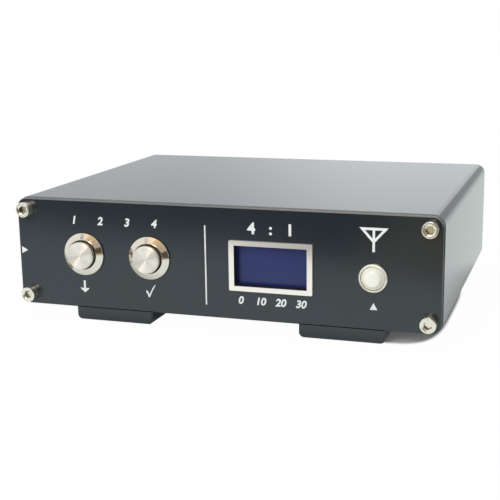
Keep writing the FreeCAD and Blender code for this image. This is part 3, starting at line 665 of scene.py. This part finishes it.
def build_spring(node, sizes, material, axis):
    """A compression spring with closed ends, which shortens as the button is pressed."""
    low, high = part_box(node)
    wire = sizes.spring_wire
    coil = half_width(node) - wire
    start, end = low.y + wire, high.y - wire
    turns, closed_turns, steps, sides = 7, 1, 36, 10
    loops = []
    for step in range(turns * steps + 1):
        turn = step / steps
        if turn < closed_turns:
            rise = 2 * wire * turn
        elif turn > turns - closed_turns:
            rise = (end - start) - 2 * wire * (turns - turn)
        else:
            share = (turn - closed_turns) / (turns - 2 * closed_turns)
            rise = 2 * wire * closed_turns + share * (end - start - 4 * wire * closed_turns)
        angle = FULL_TURN * turn
        outward = Vector((math.cos(angle), 0, math.sin(angle)))
        middle = outward * coil + Vector((0, start + rise, 0))
        loops.append([middle + wire * (outward * math.cos(FULL_TURN * side / sides)
                                       + Vector((0, math.sin(FULL_TURN * side / sides), 0)))
                      for side in range(sides)])
    mesh = bmesh.new()
    join_loops(mesh, loops)
    mesh.verts.ensure_lookup_table()
    mesh.faces.new(mesh.verts[:sides])
    mesh.faces.new(mesh.verts[-sides:])
    piece = make_piece(node + "_wound", mesh, material, [node], axis)
    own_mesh(piece)


def build_buttons(sizes, colours):
    materials = {
        "polished": turned_metal("Stainless steel, polished", colours.button, 0.12, 0.3 * MM,
                                 0.0003 * MM),
        "spun": spun_metal("Stainless steel, spun", colours.cap),
        # Painted shade: a darker steel for the bore and the cap's wall, where the gap lies in
        # shade.
        "painted_shade": turned_metal("Stainless steel, turned and left dull", linear("#8A857B"), 0.2,
                             0.3 * MM, 0.0005 * MM),
        "wire": turned_metal("Spring steel, drawn", colours.steel, 0.25, 0.3 * MM, 0.001 * MM)}
    nylon = moulded_plastic("Black nylon, moulded", linear("#1A1A1B"), 0.5)
    rubber = moulded_plastic("Nitrile rubber, moulded", linear("#0E0E0E"), 0.7)
    nickel = turned_metal("Brass nut, nickel plated", colours.nickel, 0.25, 0.3 * MM, 0.001 * MM)
    for name in ("select", "confirm"):
        build_button(name, sizes, materials)
        finish_node(nylon, name + "_button_switch_block")
        finish_node(rubber, name + "_button_seal")
        finish_node(nickel, name + "_button_nut")


def build_display(sizes, colours):
    """The brushed bezel with painted shade inside its collar, the glass and what lies behind it."""
    low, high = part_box("display_bezel")
    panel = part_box("front_panel")[0].y
    half_x, half_z = sizes.window_width / 2, sizes.window_height / 2
    wide_x = (high.x - low.x) / 2 - half_x
    wide_z = (high.z - low.z) / 2 - half_z
    collar = sizes.collar_wall / wide_x
    edge, inner_corner, outer_corner = 0.14 * MM, 0.15 * MM, 0.4 * MM
    loops = []
    for depth, share in eased([(low.y, 0.0), (low.y, 1.0), (panel, 1.0), (panel, collar),
                               (high.y, collar), (high.y, 0.0)], edge, True):
        share = max(0.0, min(1.0, share))
        loops.append(rectangle(depth, half_x + share * wide_x, half_z + share * wide_z,
                               inner_corner + (outer_corner - inner_corner) * share))
    mesh = bmesh.new()
    join_loops(mesh, loops, True)
    bright_lip, window_margin = 0.15 * MM, 0.1 * MM
    # Painted shade: the collar's inner walls are matt black, standing for the shade in the recess.
    make_piece("display_bezel_brushed", mesh,
               brushed_metal("Aluminium, brushed and anodised clear", colours.bezel),
               ["display_bezel"], axis_of("display_bezel"),
               moulded_plastic("Matt black paint, painted_recess_shade", linear("#131417"), 0.6),
               lambda point: (point.y > low.y + bright_lip
                              and abs(point.x) < half_x + window_margin
                              and abs(point.z) < half_z + window_margin))
    finish_node(display_window("Soda lime glass, floated", colours.glass), "display_glass")
    finish_node(moulded_plastic("Header, moulded nylon", linear("#101010"), 0.5), "display_header")
    finish_node(ribbed_cable("Vinyl flat cable, extruded", linear("#8C9096")), "display_cable")


def build_indicator(sizes, colours):
    """The plated ring and the milky lens, whose cone gets painted shade: a little darker."""
    axis = axis_of("indicator_holder")
    low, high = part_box("indicator_holder")
    flange = half_width("indicator_holder")
    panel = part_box("front_panel")[0].y
    floor = low.y + sizes.holder_floor
    rim_bevel = 0.4 * MM
    outline = [(low.y, sizes.holder_recess), (low.y, flange - rim_bevel),
               (low.y + rim_bevel, flange), (panel, flange), (panel, sizes.holder_sleeve),
               (high.y, sizes.holder_sleeve), (high.y, sizes.holder_bore),
               (floor, sizes.holder_bore), (floor, sizes.holder_recess)]
    metal = turned_metal("Brass ring, satin chrome plated", colours.chrome, 0.25, 0.3 * MM,
                         0.0003 * MM, metallic=0.6)
    make_piece("indicator_holder_plated",
               turned_mesh(eased(outline, sizes.edge, True), LAMP_STEPS, True), metal,
               ["indicator_holder"], axis)
    finish_node(metal, "indicator_nut")

    low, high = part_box("indicator_lens")
    lens_radius = half_width("indicator_lens")
    shoulder = low.y + sizes.lens_crown
    rim = shoulder + sizes.lens_cone
    stem_gap, dome_margin = 0.15 * MM, 0.05 * MM
    stem = sizes.holder_bore - stem_gap
    outline = []
    dome_cuts = 6
    for cut in range(dome_cuts + 1):
        angle = QUARTER_TURN * cut / dome_cuts
        outline.append((shoulder - sizes.lens_crown * math.cos(angle),
                        sizes.lens_dome * math.sin(angle)))
    outline += [(rim, lens_radius), (floor, lens_radius), (floor, stem), (high.y, stem),
                (high.y, 0.0)]
    # Painted shade: a darker, warmer copy of the lens colour for the cone.
    cone_painted_shade = tuple(share * part for share, part in zip((0.92, 0.91, 0.86), colours.lens))
    make_piece("indicator_lens_moulded", turned_mesh(eased(outline, sizes.edge), LAMP_STEPS),
               frosted_lens("Acrylic, moulded milky", colours.lens), ["indicator_lens"], axis,
               frosted_lens("Acrylic, moulded thin", cone_painted_shade),
               lambda point: point.y > shoulder + dome_margin)
    finish_node(moulded_plastic("Clear epoxy, cast", linear("#D8D8D2"), 0.12), "indicator_diode")


def thread(sizes, start, end, depth):
    """The reach of a V thread at that depth. It fades out over one pitch at both ends."""
    pitch = sizes.thread_pitch
    fade = max(0.0, min(1.0, (depth - start) / pitch, (end - depth) / pitch))

    def reach(angle):
        phase = (depth / pitch - angle / FULL_TURN) % 1.0
        return sizes.thread_radius - sizes.thread_depth * fade * (1 - abs(2 * phase - 1))
    return reach


def notched(sizes):
    """The reach of the mouth's rim, with four notches."""
    def reach(angle):
        from_notch = (angle + QUARTER_TURN / 2) % QUARTER_TURN - QUARTER_TURN / 2
        inside = abs(math.sin(from_notch)) * sizes.mouth_radius < sizes.notch_width / 2
        return sizes.mouth_radius + (sizes.notch_reach if inside else 0.0)
    return reach


def build_shell(node, sizes, metal):
    """A socket's threaded shell: neck, hexagonal flange, thread and notched mouth."""
    low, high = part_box(node)
    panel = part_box("rear_panel")[1].y
    flange = panel + sizes.flange_thickness
    corner = sizes.flange_size / 2 / math.cos(SIXTH_TURN / 2)
    bevel, break_edge, seat_bevel, mouth_bevel = 0.45 * MM, 0.2 * MM, 0.3 * MM, 0.4 * MM
    seat = high.y - sizes.mouth_depth
    plain_end = 0.5 * MM
    start, end = flange + plain_end, high.y - plain_end
    root = sizes.thread_radius - sizes.thread_depth
    notch_floor = high.y - sizes.notch_depth
    rings = [(low.y, sizes.neck_bore), (low.y, sizes.neck_radius - break_edge),
             (low.y + break_edge, sizes.neck_radius), (panel, sizes.neck_radius),
             (panel, hexagon(sizes.flange_size, corner - bevel)),
             (panel + seat_bevel, hexagon(sizes.flange_size, corner)),
             (flange - bevel, hexagon(sizes.flange_size, corner)),
             (flange, hexagon(sizes.flange_size - bevel / 2, corner - 2 * bevel)),
             (flange, root), (start, root)]
    rings_per_pitch = 8
    count = round((end - start) / sizes.thread_pitch * rings_per_pitch)
    for step in range(count + 1):
        depth = start + (end - start) * step / count
        rings.append((depth, thread(sizes, start, end, depth)))
    rings += [(high.y, sizes.thread_radius - mouth_bevel), (high.y, notched(sizes)),
              (notch_floor, notched(sizes)), (notch_floor, sizes.mouth_radius),
              (seat, sizes.mouth_radius), (seat, sizes.neck_bore)]
    make_piece(node + "_threaded", turned_mesh(rings, SOCKET_STEPS, True), metal, [node],
               axis_of(node))


def build_contact(node, sizes, plating, axis):
    """A socket's centre contact: four fingers in front and a solder cup behind."""
    low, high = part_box(node)
    outer, bore, bore_depth = half_width(node), 2.0 * MM, 9.0 * MM
    cup, cup_bore, cup_depth, collar = 1.9 * MM, 1.2 * MM, 4.0 * MM, 5.0 * MM
    split = high.y - sizes.slit_depth
    outline = [(low.y + cup_depth, 0.0), (low.y + cup_depth, cup_bore), (low.y, cup_bore),
               (low.y, cup), (low.y + collar, cup), (low.y + collar, outer), (split, outer),
               (split, bore), (high.y - bore_depth, bore), (high.y - bore_depth, 0.0)]
    mesh = turned_mesh(outline, CONTACT_STEPS)
    for quarter in range(4):
        add_finger(mesh, quarter, split, high.y, bore, outer, sizes)
    make_piece(node + "_slit", mesh, plating, [node], axis)


def add_finger(mesh, quarter, start, end, bore, outer, sizes):
    """Adds one of the four springy fingers of a centre contact."""
    arc_steps = 12
    tip_length, tip_ease = 0.25 * MM, 0.2 * MM
    loops = []
    for depth, ease in ((start, 0.0), (end - tip_length, 0.0), (end, tip_ease)):
        outline = []
        for radius, order in ((outer - ease, 1), (bore + ease, -1)):
            margin = sizes.slit_width / 2 / radius
            arc = [QUARTER_TURN * quarter + margin
                   + (QUARTER_TURN - 2 * margin) * step / arc_steps
                   for step in range(arc_steps + 1)]
            outline += [Vector((radius * math.cos(angle), depth, radius * math.sin(angle)))
                        for angle in arc[::order]]
        loops.append(outline)
    join_loops(mesh, loops)
    mesh.verts.ensure_lookup_table()
    tip = mesh.verts[-len(loops[0]):]
    for step in range(arc_steps):
        mesh.faces.new((tip[step], tip[step + 1], tip[-2 - step], tip[-1 - step]))


def build_sockets(sizes, colours):
    metal = turned_metal("Brass, nickel plated", colours.nickel, 0.2, 0.25 * MM, 0.0008 * MM)
    plating = turned_metal("Brass, silver plated", colours.silver, 0.22, 0.2 * MM, 0.0008 * MM)
    for node in sorted(frame["nodes"]):
        if node.endswith("_shell") and node != "body_shell":
            build_shell(node, sizes, metal)
            build_contact(node.replace("shell", "contact"), sizes, plating, axis_of(node))
    finish_node(metal, "socket_nuts", "socket_washers", "inlet_nut")
    finish_node(plating, "button_terminals", "inlet_pin")
    finish_node(moulded_plastic("Fluoropolymer, turned", linear("#EFEDE6"), 0.4),
                "socket_insulators")
    finish_node(turned_metal("Copper wire, tinned", colours.silver, 0.3, 0.4 * MM, 0.001 * MM),
                "radio_links")


def build_inlet(sizes):
    """The moulded housing round the supply inlet's pin."""
    low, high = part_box("inlet_housing")
    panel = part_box("rear_panel")[1].y
    flange, sleeve, mouth, pin_hole = half_width("inlet_housing"), 5.0 * MM, 3.1 * MM, 1.1 * MM
    rear_wall, rim_length, rim_slope = 2.0 * MM, 0.3 * MM, 0.6 * MM
    lip, lip_depth, mouth_depth = 0.5 * MM, 0.4 * MM, 10.0 * MM
    outline = [(low.y + rear_wall, pin_hole), (low.y + rear_wall, 0.0), (low.y, 0.0),
               (low.y, sleeve), (panel, sleeve), (panel, flange), (high.y - rim_length, flange),
               (high.y, flange - rim_slope), (high.y, mouth + lip), (high.y - lip_depth, mouth),
               (high.y - mouth_depth, mouth), (high.y - mouth_depth, pin_hole)]
    make_piece("inlet_housing_moulded",
               turned_mesh(eased(outline, sizes.edge, True), INLET_STEPS, True),
               moulded_plastic("Black polyamide, moulded", linear("#161617"), 0.42),
               ["inlet_housing"], axis_of("inlet_housing"))


def build_boards(colours):
    finish_node(solder_mask("Glass fibre board, solder masked", colours.board),
                "main_board", "display_board")
    finish_node(moulded_plastic("Relay case, moulded PBT", linear("#26334F"), 0.3),
                "antenna_relays")
    finish_node(moulded_plastic("Chip, moulded epoxy", linear("#17181A"), 0.5), "controller_chip")
    finish_node(moulded_plastic("Capacitor sleeve, shrunk vinyl", linear("#2B3350"), 0.3),
                "smoothing_capacitor")
    finish_node(ribbed_cable("Vinyl twin lead, extruded", linear("#3A3B3E")),
                "button_leads", "indicator_lead", "inlet_lead")


# Marks. The signs' outlines are (x, height) points in millimetres from each sign's middle.

DIVIDER = [(-0.22, 12.8), (0.22, 12.8), (0.22, -12.8), (-0.22, -12.8)]
ARROW = [(-0.36, 2.0), (0.36, 2.0), (0.36, -0.6), (1.6, -0.4), (1.4, -0.85), (0.0, -2.0),
         (-1.4, -0.85), (-1.6, -0.4), (-0.36, -0.6)]
TICK = [(-1.76, -0.2), (-1.35, 0.05), (-1.05, 0.0), (-0.8, -0.5), (-0.55, -1.35), (0.1, 0.05),
        (0.75, 1.15), (1.5, 2.05), (1.76, 2.0), (0.95, 0.75), (0.3, -0.5), (-0.4, -2.1),
        (-0.8, -2.15), (-1.15, -1.15)]
TRIANGLE = [(-1.15, -1.1), (1.15, -1.1), (0.0, 1.1)]
POINTER = [(-1.1, 1.2), (-1.1, -1.2), (1.1, 0.0)]
MAST = [(-4.4, 3.7), (4.4, 3.7), (0.38, -0.77), (0.38, -3.7), (-0.38, -3.7), (-0.38, -0.77)]
MAST_RIGHT_GAP = [(0.38, 0.37), (0.38, 2.9), (2.66, 2.9)]
MAST_LEFT_GAP = [(-x, height) for x, height in MAST_RIGHT_GAP]


def printed(name, curve, place, ink, sizes, rear=False):
    """Prints a flat curve on a panel, its middle at that place."""
    curve.extrude = sizes.ink / 2
    drawn = bpy.data.objects.new(name, curve)
    bpy.context.scene.collection.objects.link(drawn)
    data = bpy.data.meshes.new_from_object(drawn)
    data.name = name
    bpy.data.objects.remove(drawn)
    turn = Matrix.Rotation(math.radians(180 if rear else 0), 4, "Z")
    upright = Matrix.Rotation(QUARTER_TURN, 4, "X")
    data.transform(Matrix.Translation(place) @ turn @ upright)
    data.materials.clear()
    data.materials.append(ink)
    piece = bpy.data.objects.new(name, data)
    bpy.context.scene.collection.objects.link(piece)
    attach(piece, "case")


def print_sign(name, outlines, place, ink, sizes):
    """Prints a sign. Its outlines are (x, height) points in millimetres from its middle."""
    curve = bpy.data.curves.new(name, "CURVE")
    curve.dimensions = "2D"
    curve.fill_mode = "BOTH"
    for outline in outlines:
        spline = curve.splines.new("POLY")
        spline.points.add(len(outline) - 1)
        for point, (x, height) in zip(spline.points, outline):
            point.co = (x * MM, height * MM, 0.0, 1.0)
        spline.use_cyclic_u = True
    printed(name, curve, place, ink, sizes)


def print_digits(name, words, place, height, ink, sizes, lean=0.0, rear=False, gap=1.0):
    """Prints bold digits, centred on that place. The gap widens the spaces between words."""
    # A digit's height as a share of the font's size, and how much its strokes are thickened
    digit_share, boldness = 0.75, 0.045
    curve = bpy.data.curves.new(name, "FONT")
    curve.body = words
    curve.align_x = "CENTER"
    curve.align_y = "CENTER"
    curve.size = height / digit_share
    curve.shear = lean
    curve.space_word = gap
    curve.offset = boldness * height
    printed(name, curve, place, ink, sizes, rear)


def build_marks(sizes, colours):
    """White marks on the panels: a divider, arrows, a tick, an aerial sign and plain digits."""
    ink = printed_ink("Epoxy ink, screen printed", colours.ink)
    low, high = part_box("front_panel")
    front = low.y - sizes.ink / 2
    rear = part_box("rear_panel")[1].y + sizes.ink / 2
    mid = (low.z + high.z) / 2
    display = centre("display_bezel").x
    lamp = centre("indicator_holder").x

    def place(x, height):
        return Vector((x, front, mid + height))

    for name, x, height, outlines in (
            ("divider_mark", -3.95 * MM, -1.02 * MM, [DIVIDER]),
            ("down_arrow_mark", -46.56 * MM, -10.8 * MM, [ARROW]),
            ("tick_mark", -23.0 * MM, -10.7 * MM, [TICK]),
            ("lamp_mark", 49.66 * MM, -10.4 * MM, [TRIANGLE]),
            ("edge_mark", -68.06 * MM, 0.34 * MM, [POINTER]),
            ("aerial_mark", lamp, 10.0 * MM, [MAST, MAST_RIGHT_GAP, MAST_LEFT_GAP])):
        print_sign(name, outlines, place(x, height), ink, sizes)

    lean, word_gap = 0.2, 3.2
    number_start, number_pitch, number_level = -49.5, 9.4, 11.2
    scale_start, scale_pitch, scale_level = -10.0, 6.5, -11.6
    ratio_level, socket_level = 11.4, 13.6
    for number in range(4):
        digit = str(number + 1)
        print_digits("antenna_digit_" + digit, digit,
                     place((number_start + number_pitch * number) * MM, number_level * MM),
                     sizes.number_height, ink, sizes, lean)
        print_digits("scale_digit_%d" % number, str(10 * number),
                     place(display + (scale_start + scale_pitch * number) * MM,
                           scale_level * MM), sizes.scale_height, ink, sizes, lean)
        socket = centre("antenna_socket_%s_shell" % digit)
        print_digits("socket_digit_" + digit, digit,
                     Vector((socket.x, rear, socket.z + socket_level * MM)),
                     sizes.socket_height, ink, sizes, rear=True)
    print_digits("ratio_digits", "4 : 1", place(display, ratio_level * MM), sizes.ratio_height,
                 ink, sizes, gap=word_gap)


# Stage

WHITE = toned(linear("#FFFFFF"))


def seen_in_mirrors(tree, path):
    """One where a ray comes from a mirror or through glass."""
    both = add_node(tree, "ShaderNodeMath", {0: path.outputs["Is Glossy Ray"],
                                             1: path.outputs["Is Transmission Ray"]},
                    operation="MAXIMUM")
    return both.outputs["Value"]


def rounded_patch(tree, place, middle, halves, span, lifts):
    """From the first lift to the second across the rim of a rounded patch of floor.

    The patch has that middle and those half sizes, and its rim spans those shares of them.
    """
    apart = add_node(tree, "ShaderNodeVectorMath", {0: place, 1: middle}, operation="SUBTRACT")
    shares = add_node(tree, "ShaderNodeVectorMath", {0: apart.outputs["Vector"], 1: halves},
                      operation="DIVIDE")
    squares = add_node(tree, "ShaderNodeVectorMath",
                       {0: shares.outputs["Vector"], 1: shares.outputs["Vector"]},
                       operation="MULTIPLY")
    reach = add_node(tree, "ShaderNodeVectorMath", {0: squares.outputs["Vector"]},
                     operation="LENGTH")
    lift = add_node(tree, "ShaderNodeMapRange",
                    {"Value": reach.outputs["Value"], "From Min": span[0], "From Max": span[1],
                     "To Min": lifts[0], "To Max": lifts[1]}, interpolation_type="SMOOTHSTEP")
    return lift.outputs["Result"]


def flat_sheet(name, corners, material):
    """A flat sheet through the corners."""
    mesh = bpy.data.meshes.new(name)
    mesh.from_pydata(corners, [], [range(len(corners))])
    mesh.materials.append(material)
    sheet = bpy.data.objects.new(name, mesh)
    bpy.context.scene.collection.objects.link(sheet)
    return sheet


def build_floor():
    """A white paper sheet, plain white in the view but for its shadow at the case's right end.

    Mirrors show it white too, and darker under the case.
    """
    material, tree = new_material("White paper sheet")
    place = add_node(tree, "ShaderNodeTexCoord").outputs["Object"]
    path = add_node(tree, "ShaderNodeLightPath")
    open_floor = rounded_patch(tree, place, middle=(0.0495, -0.018, 0.0),
                               halves=(0.0193, 0.0412, 1.0), span=(0.86, 1.0), lifts=(0.08, 0.98))
    away = add_node(tree, "ShaderNodeVectorMath", {0: place}, operation="LENGTH")
    far = add_node(tree, "ShaderNodeMapRange",
                   {"Value": away.outputs["Value"], "From Min": 0.12, "From Max": 0.3})
    in_view = add_node(tree, "ShaderNodeMath", {0: open_floor, 1: far.outputs["Result"]},
                       operation="MAXIMUM")
    mirrored = rounded_patch(tree, place, middle=(0.0, 0.0, 0.0), halves=(0.072, 0.062, 1.0),
                             span=(0.85, 1.45), lifts=(0.1, 1.0))
    camera_part = add_node(tree, "ShaderNodeMath", {0: in_view.outputs["Value"],
                                                    1: path.outputs["Is Camera Ray"]},
                           operation="MULTIPLY")
    shown = add_node(tree, "ShaderNodeMath", {0: seen_in_mirrors(tree, path), 1: mirrored,
                                              2: camera_part.outputs["Value"]},
                     operation="MULTIPLY_ADD")
    paper = add_node(tree, "ShaderNodeBsdfDiffuse", {"Color": toned(linear("#EDEDED"))})
    tint = add_node(tree, "ShaderNodeMix",
                    {"Factor": path.outputs["Is Camera Ray"],
                     COLOUR_A: toned(linear("#F6FFFD")), COLOUR_B: WHITE}, data_type="RGBA")
    glow = add_node(tree, "ShaderNodeEmission",
                    {"Color": tint.outputs[COLOUR_OUT], "Strength": 1.0})
    both = add_node(tree, "ShaderNodeMixShader",
                    {0: shown.outputs["Value"], 1: paper.outputs["BSDF"],
                     2: glow.outputs["Emission"]})
    add_node(tree, "ShaderNodeOutputMaterial", {"Surface": both.outputs["Shader"]})
    reach = 3.0
    floor = flat_sheet("floor", [(-reach, -reach, 0), (reach, -reach, 0), (reach, reach, 0),
                                 (-reach, reach, 0)], material)


def build_card(name, shade, corners, strength=1.0, fade=None):
    """A studio card that only mirrors see.

    fade holds the two places along X between which the strength comes up to the given one,
    and the share that it starts from.
    """
    material, tree = new_material(name)
    paint = add_node(tree, "ShaderNodeEmission",
                     {"Color": toned(linear(shade)), "Strength": strength})
    add_node(tree, "ShaderNodeOutputMaterial", {"Surface": paint.outputs["Emission"]})
    if fade:
        start, end, share = fade
        place = add_node(tree, "ShaderNodeTexCoord")
        parts = add_node(tree, "ShaderNodeSeparateXYZ", {"Vector": place.outputs["Object"]})
        rise = add_node(tree, "ShaderNodeMapRange",
                        {"Value": parts.outputs["X"], "From Min": start, "From Max": end,
                         "To Min": share * strength, "To Max": strength},
                        interpolation_type="SMOOTHSTEP")
        feed(tree, paint, {"Strength": rise.outputs["Result"]})
    card = flat_sheet(name, corners, material)
    card.visible_camera = False
    card.visible_diffuse = False
    card.visible_shadow = False


def upright_card(name, shade, depth, left, right, bottom, top, strength=1.0, fade=None):
    """A card that stands across Y at that depth."""
    build_card(name, shade, [(left, depth, bottom), (right, depth, bottom), (right, depth, top),
                             (left, depth, top)], strength, fade)


def build_softbox(name, power, size, place):
    """A softbox turned towards the middle of the floor. Mirrors don't show it."""
    light = bpy.data.lights.new(name, "AREA")
    light.energy = power
    light.shape = "RECTANGLE"
    light.size, light.size_y = size
    lamp = bpy.data.objects.new(name, light)
    lamp.location = place
    lamp.rotation_euler = (-Vector(place)).to_track_quat("-Z", "Y").to_euler()
    lamp.visible_camera = False
    lamp.visible_glossy = False
    bpy.context.scene.collection.objects.link(lamp)


def build_world(ambient):
    """White where the camera or a mirror sees it, and a soft light of that strength elsewhere."""
    world = bpy.data.worlds.new("White surroundings")
    bpy.context.scene.world = world
    world.use_nodes = True
    tree = world.node_tree
    tree.nodes.clear()
    path = add_node(tree, "ShaderNodeLightPath")
    seen = add_node(tree, "ShaderNodeMath", {0: path.outputs["Is Camera Ray"],
                                             1: seen_in_mirrors(tree, path)},
                    operation="MAXIMUM")
    strength = add_node(tree, "ShaderNodeMapRange", {"Value": seen.outputs["Value"],
                                                     "To Min": ambient, "To Max": 1.0})
    back = add_node(tree, "ShaderNodeBackground",
                    {"Color": WHITE, "Strength": strength.outputs["Result"]})
    add_node(tree, "ShaderNodeOutputWorld", {"Surface": back.outputs["Background"]})


def build_surroundings():
    """What the polished metal, the oxide and the glass mirror: a table, a room and a window."""
    table_level, wood_level = 0.001, 0.002
    table = [(-0.45, -0.26), (-0.16, -0.2), (-0.1, -0.186), (-0.038, -0.181), (0.003, -0.161),
             (0.05, -0.14), (0.363, 0.013), (0.9, -1.3), (-0.45, -1.3)]
    wood = [(0.022, -0.152), (0.07, -0.132), (0.09, -0.28), (0.022, -0.28)]
    build_card("Table beyond the sheet", "#504D46", [(x, y, table_level) for x, y in table])
    build_card("Light wood on the table", "#CBBE95", [(x, y, wood_level) for x, y in wood])
    # Name, shade, depth, left, right, bottom and top
    upright_card("Room behind the camera", "#5A524A", -1.3, -0.3, 1.5, 0.0, 0.38)
    upright_card("Warm wall", "#C6BAA4", -1.3, -0.1, 1.0, 0.38, 0.95)
    upright_card("Ceiling", "#DCBE90", -1.3, -0.35, 0.7, 0.95, 1.3)
    upright_card("Lamp over the table", "#FFF6E8", -1.2, -0.14, 0.1, 0.5, 0.85, strength=14.0)
    build_card("Wooden ceiling", "#F4E6CA", [(-0.6, -1.3, 1.3), (0.95, -1.3, 1.3),
                                             (0.95, 0.2, 1.9), (-0.6, 0.2, 1.9)], strength=1.4)
    upright_card("Cupboard", "#8F8676", -1.3, 1.0, 2.4, 0.3, 1.5)
    build_card("Dark shelf", "#3A3630", [(-0.1, -1.3, 1.05), (-1.24, -1.3, 1.5),
                                         (-1.24, -1.3, 1.62), (-0.1, -1.3, 1.17)])
    upright_card("Wall with the window", "#F8FDFF", 1.5, -1.3, 0.16, 0.01, 0.9, strength=1.23,
                 fade=(-0.66, -0.24, 0.73))
    upright_card("Grey wall on the right", "#CBD1D0", 1.45, 0.14, 1.6, 0.08, 1.3)
    upright_card("Far end of the sheet", "#E6ECEC", 1.45, 0.14, 0.9, 0.0, 0.08)


def build_stage(stage):
    build_floor()
    build_world(stage.ambient)
    build_surroundings()
    build_softbox("Overhead softbox", stage.overhead, size=(1.2, 1.0), place=(-0.05, 0.1, 1.0))
    build_softbox("Key softbox", stage.key, size=(0.9, 0.7), place=(-0.4, -1.2, 0.7))
    data = bpy.data.cameras.new("Camera")
    data.lens = stage.lens
    camera = bpy.data.objects.new("Camera", data)
    camera.location = stage.place
    camera.rotation_euler = stage.turn
    bpy.context.scene.collection.objects.link(camera)
    scene = bpy.context.scene
    scene.camera = camera
    scene.view_settings.view_transform = "Standard"


# Operators, one for each piece or group of like pieces

class SwitchOperator:
    bl_options = {"REGISTER", "UNDO"}


class DressCase(SwitchOperator, bpy.types.Operator):
    """Give the case, the panels and the foot rails their black oxide"""
    bl_idname = "antenna_switch.case"
    bl_label = "Case and panels"

    def execute(self, context):
        build_case(context.scene.switch_colours)
        return {"FINISHED"}


class DressScrews(SwitchOperator, bpy.types.Operator):
    """Build the socket head screws of both panels"""
    bl_idname = "antenna_switch.screws"
    bl_label = "Screws"

    def execute(self, context):
        build_screws(context.scene.switch_sizes, context.scene.switch_colours)
        return {"FINISHED"}


class DressButtons(SwitchOperator, bpy.types.Operator):
    """Build the two push buttons with their springs"""
    bl_idname = "antenna_switch.buttons"
    bl_label = "Push buttons"

    def execute(self, context):
        build_buttons(context.scene.switch_sizes, context.scene.switch_colours)
        return {"FINISHED"}


class DressDisplay(SwitchOperator, bpy.types.Operator):
    """Build the display's brushed bezel and finish its glass"""
    bl_idname = "antenna_switch.display"
    bl_label = "Display"

    def execute(self, context):
        build_display(context.scene.switch_sizes, context.scene.switch_colours)
        return {"FINISHED"}


class DressIndicator(SwitchOperator, bpy.types.Operator):
    """Build the indicator's plated ring and milky lens"""
    bl_idname = "antenna_switch.indicator"
    bl_label = "Indicator"

    def execute(self, context):
        build_indicator(context.scene.switch_sizes, context.scene.switch_colours)
        return {"FINISHED"}


class DressSockets(SwitchOperator, bpy.types.Operator):
    """Build the five coaxial sockets with threads, notches and slit contacts"""
    bl_idname = "antenna_switch.sockets"
    bl_label = "Coaxial sockets"

    def execute(self, context):
        build_sockets(context.scene.switch_sizes, context.scene.switch_colours)
        return {"FINISHED"}


class DressInlet(SwitchOperator, bpy.types.Operator):
    """Build the supply inlet's moulded housing"""
    bl_idname = "antenna_switch.inlet"
    bl_label = "Supply inlet"

    def execute(self, context):
        build_inlet(context.scene.switch_sizes)
        return {"FINISHED"}


class DressBoards(SwitchOperator, bpy.types.Operator):
    """Finish the boards and what stands on them"""
    bl_idname = "antenna_switch.boards"
    bl_label = "Boards"

    def execute(self, context):
        build_boards(context.scene.switch_colours)
        return {"FINISHED"}


class PrintMarks(SwitchOperator, bpy.types.Operator):
    """Print the white marks and plain digits on the panels"""
    bl_idname = "antenna_switch.marks"
    bl_label = "Printed marks"

    def execute(self, context):
        build_marks(context.scene.switch_sizes, context.scene.switch_colours)
        return {"FINISHED"}


class SetStage(SwitchOperator, bpy.types.Operator):
    """Set up the floor, the surroundings, the light and the camera"""
    bl_idname = "antenna_switch.stage"
    bl_label = "Stage"

    def execute(self, context):
        build_stage(context.scene.switch_stage)
        return {"FINISHED"}


class SwitchPanel(bpy.types.Panel):
    """Lists the steps that dress the antenna switch"""
    bl_idname = "VIEW3D_PT_antenna_switch"
    bl_label = "Antenna switch"
    bl_space_type = "VIEW_3D"
    bl_region_type = "UI"
    bl_category = "Antenna switch"

    def draw(self, context):
        for step in steps:
            self.layout.operator(step.bl_idname)


steps = [DressCase, DressScrews, DressButtons, DressDisplay, DressIndicator, DressSockets,
         DressInlet, DressBoards, PrintMarks, SetStage]
groups = {"switch_sizes": SwitchSizes, "switch_colours": SwitchColours,
          "switch_stage": StageSettings}


def register():
    for item in [*groups.values(), *steps, SwitchPanel]:
        bpy.utils.register_class(item)
    for name, group in groups.items():
        setattr(bpy.types.Scene, name, PointerProperty(type=group))


def unregister():
    for name in groups:
        delattr(bpy.types.Scene, name)
    for item in [SwitchPanel, *reversed(steps), *reversed(groups.values())]:
        bpy.utils.unregister_class(item)


def main():
    register()
    bpy.ops.antenna_switch.case()
    bpy.ops.antenna_switch.screws()
    bpy.ops.antenna_switch.buttons()
    bpy.ops.antenna_switch.display()
    bpy.ops.antenna_switch.indicator()
    bpy.ops.antenna_switch.sockets()
    bpy.ops.antenna_switch.inlet()
    bpy.ops.antenna_switch.boards()
    bpy.ops.antenna_switch.marks()
    bpy.ops.antenna_switch.stage()


if __name__ == "__main__":
    main()
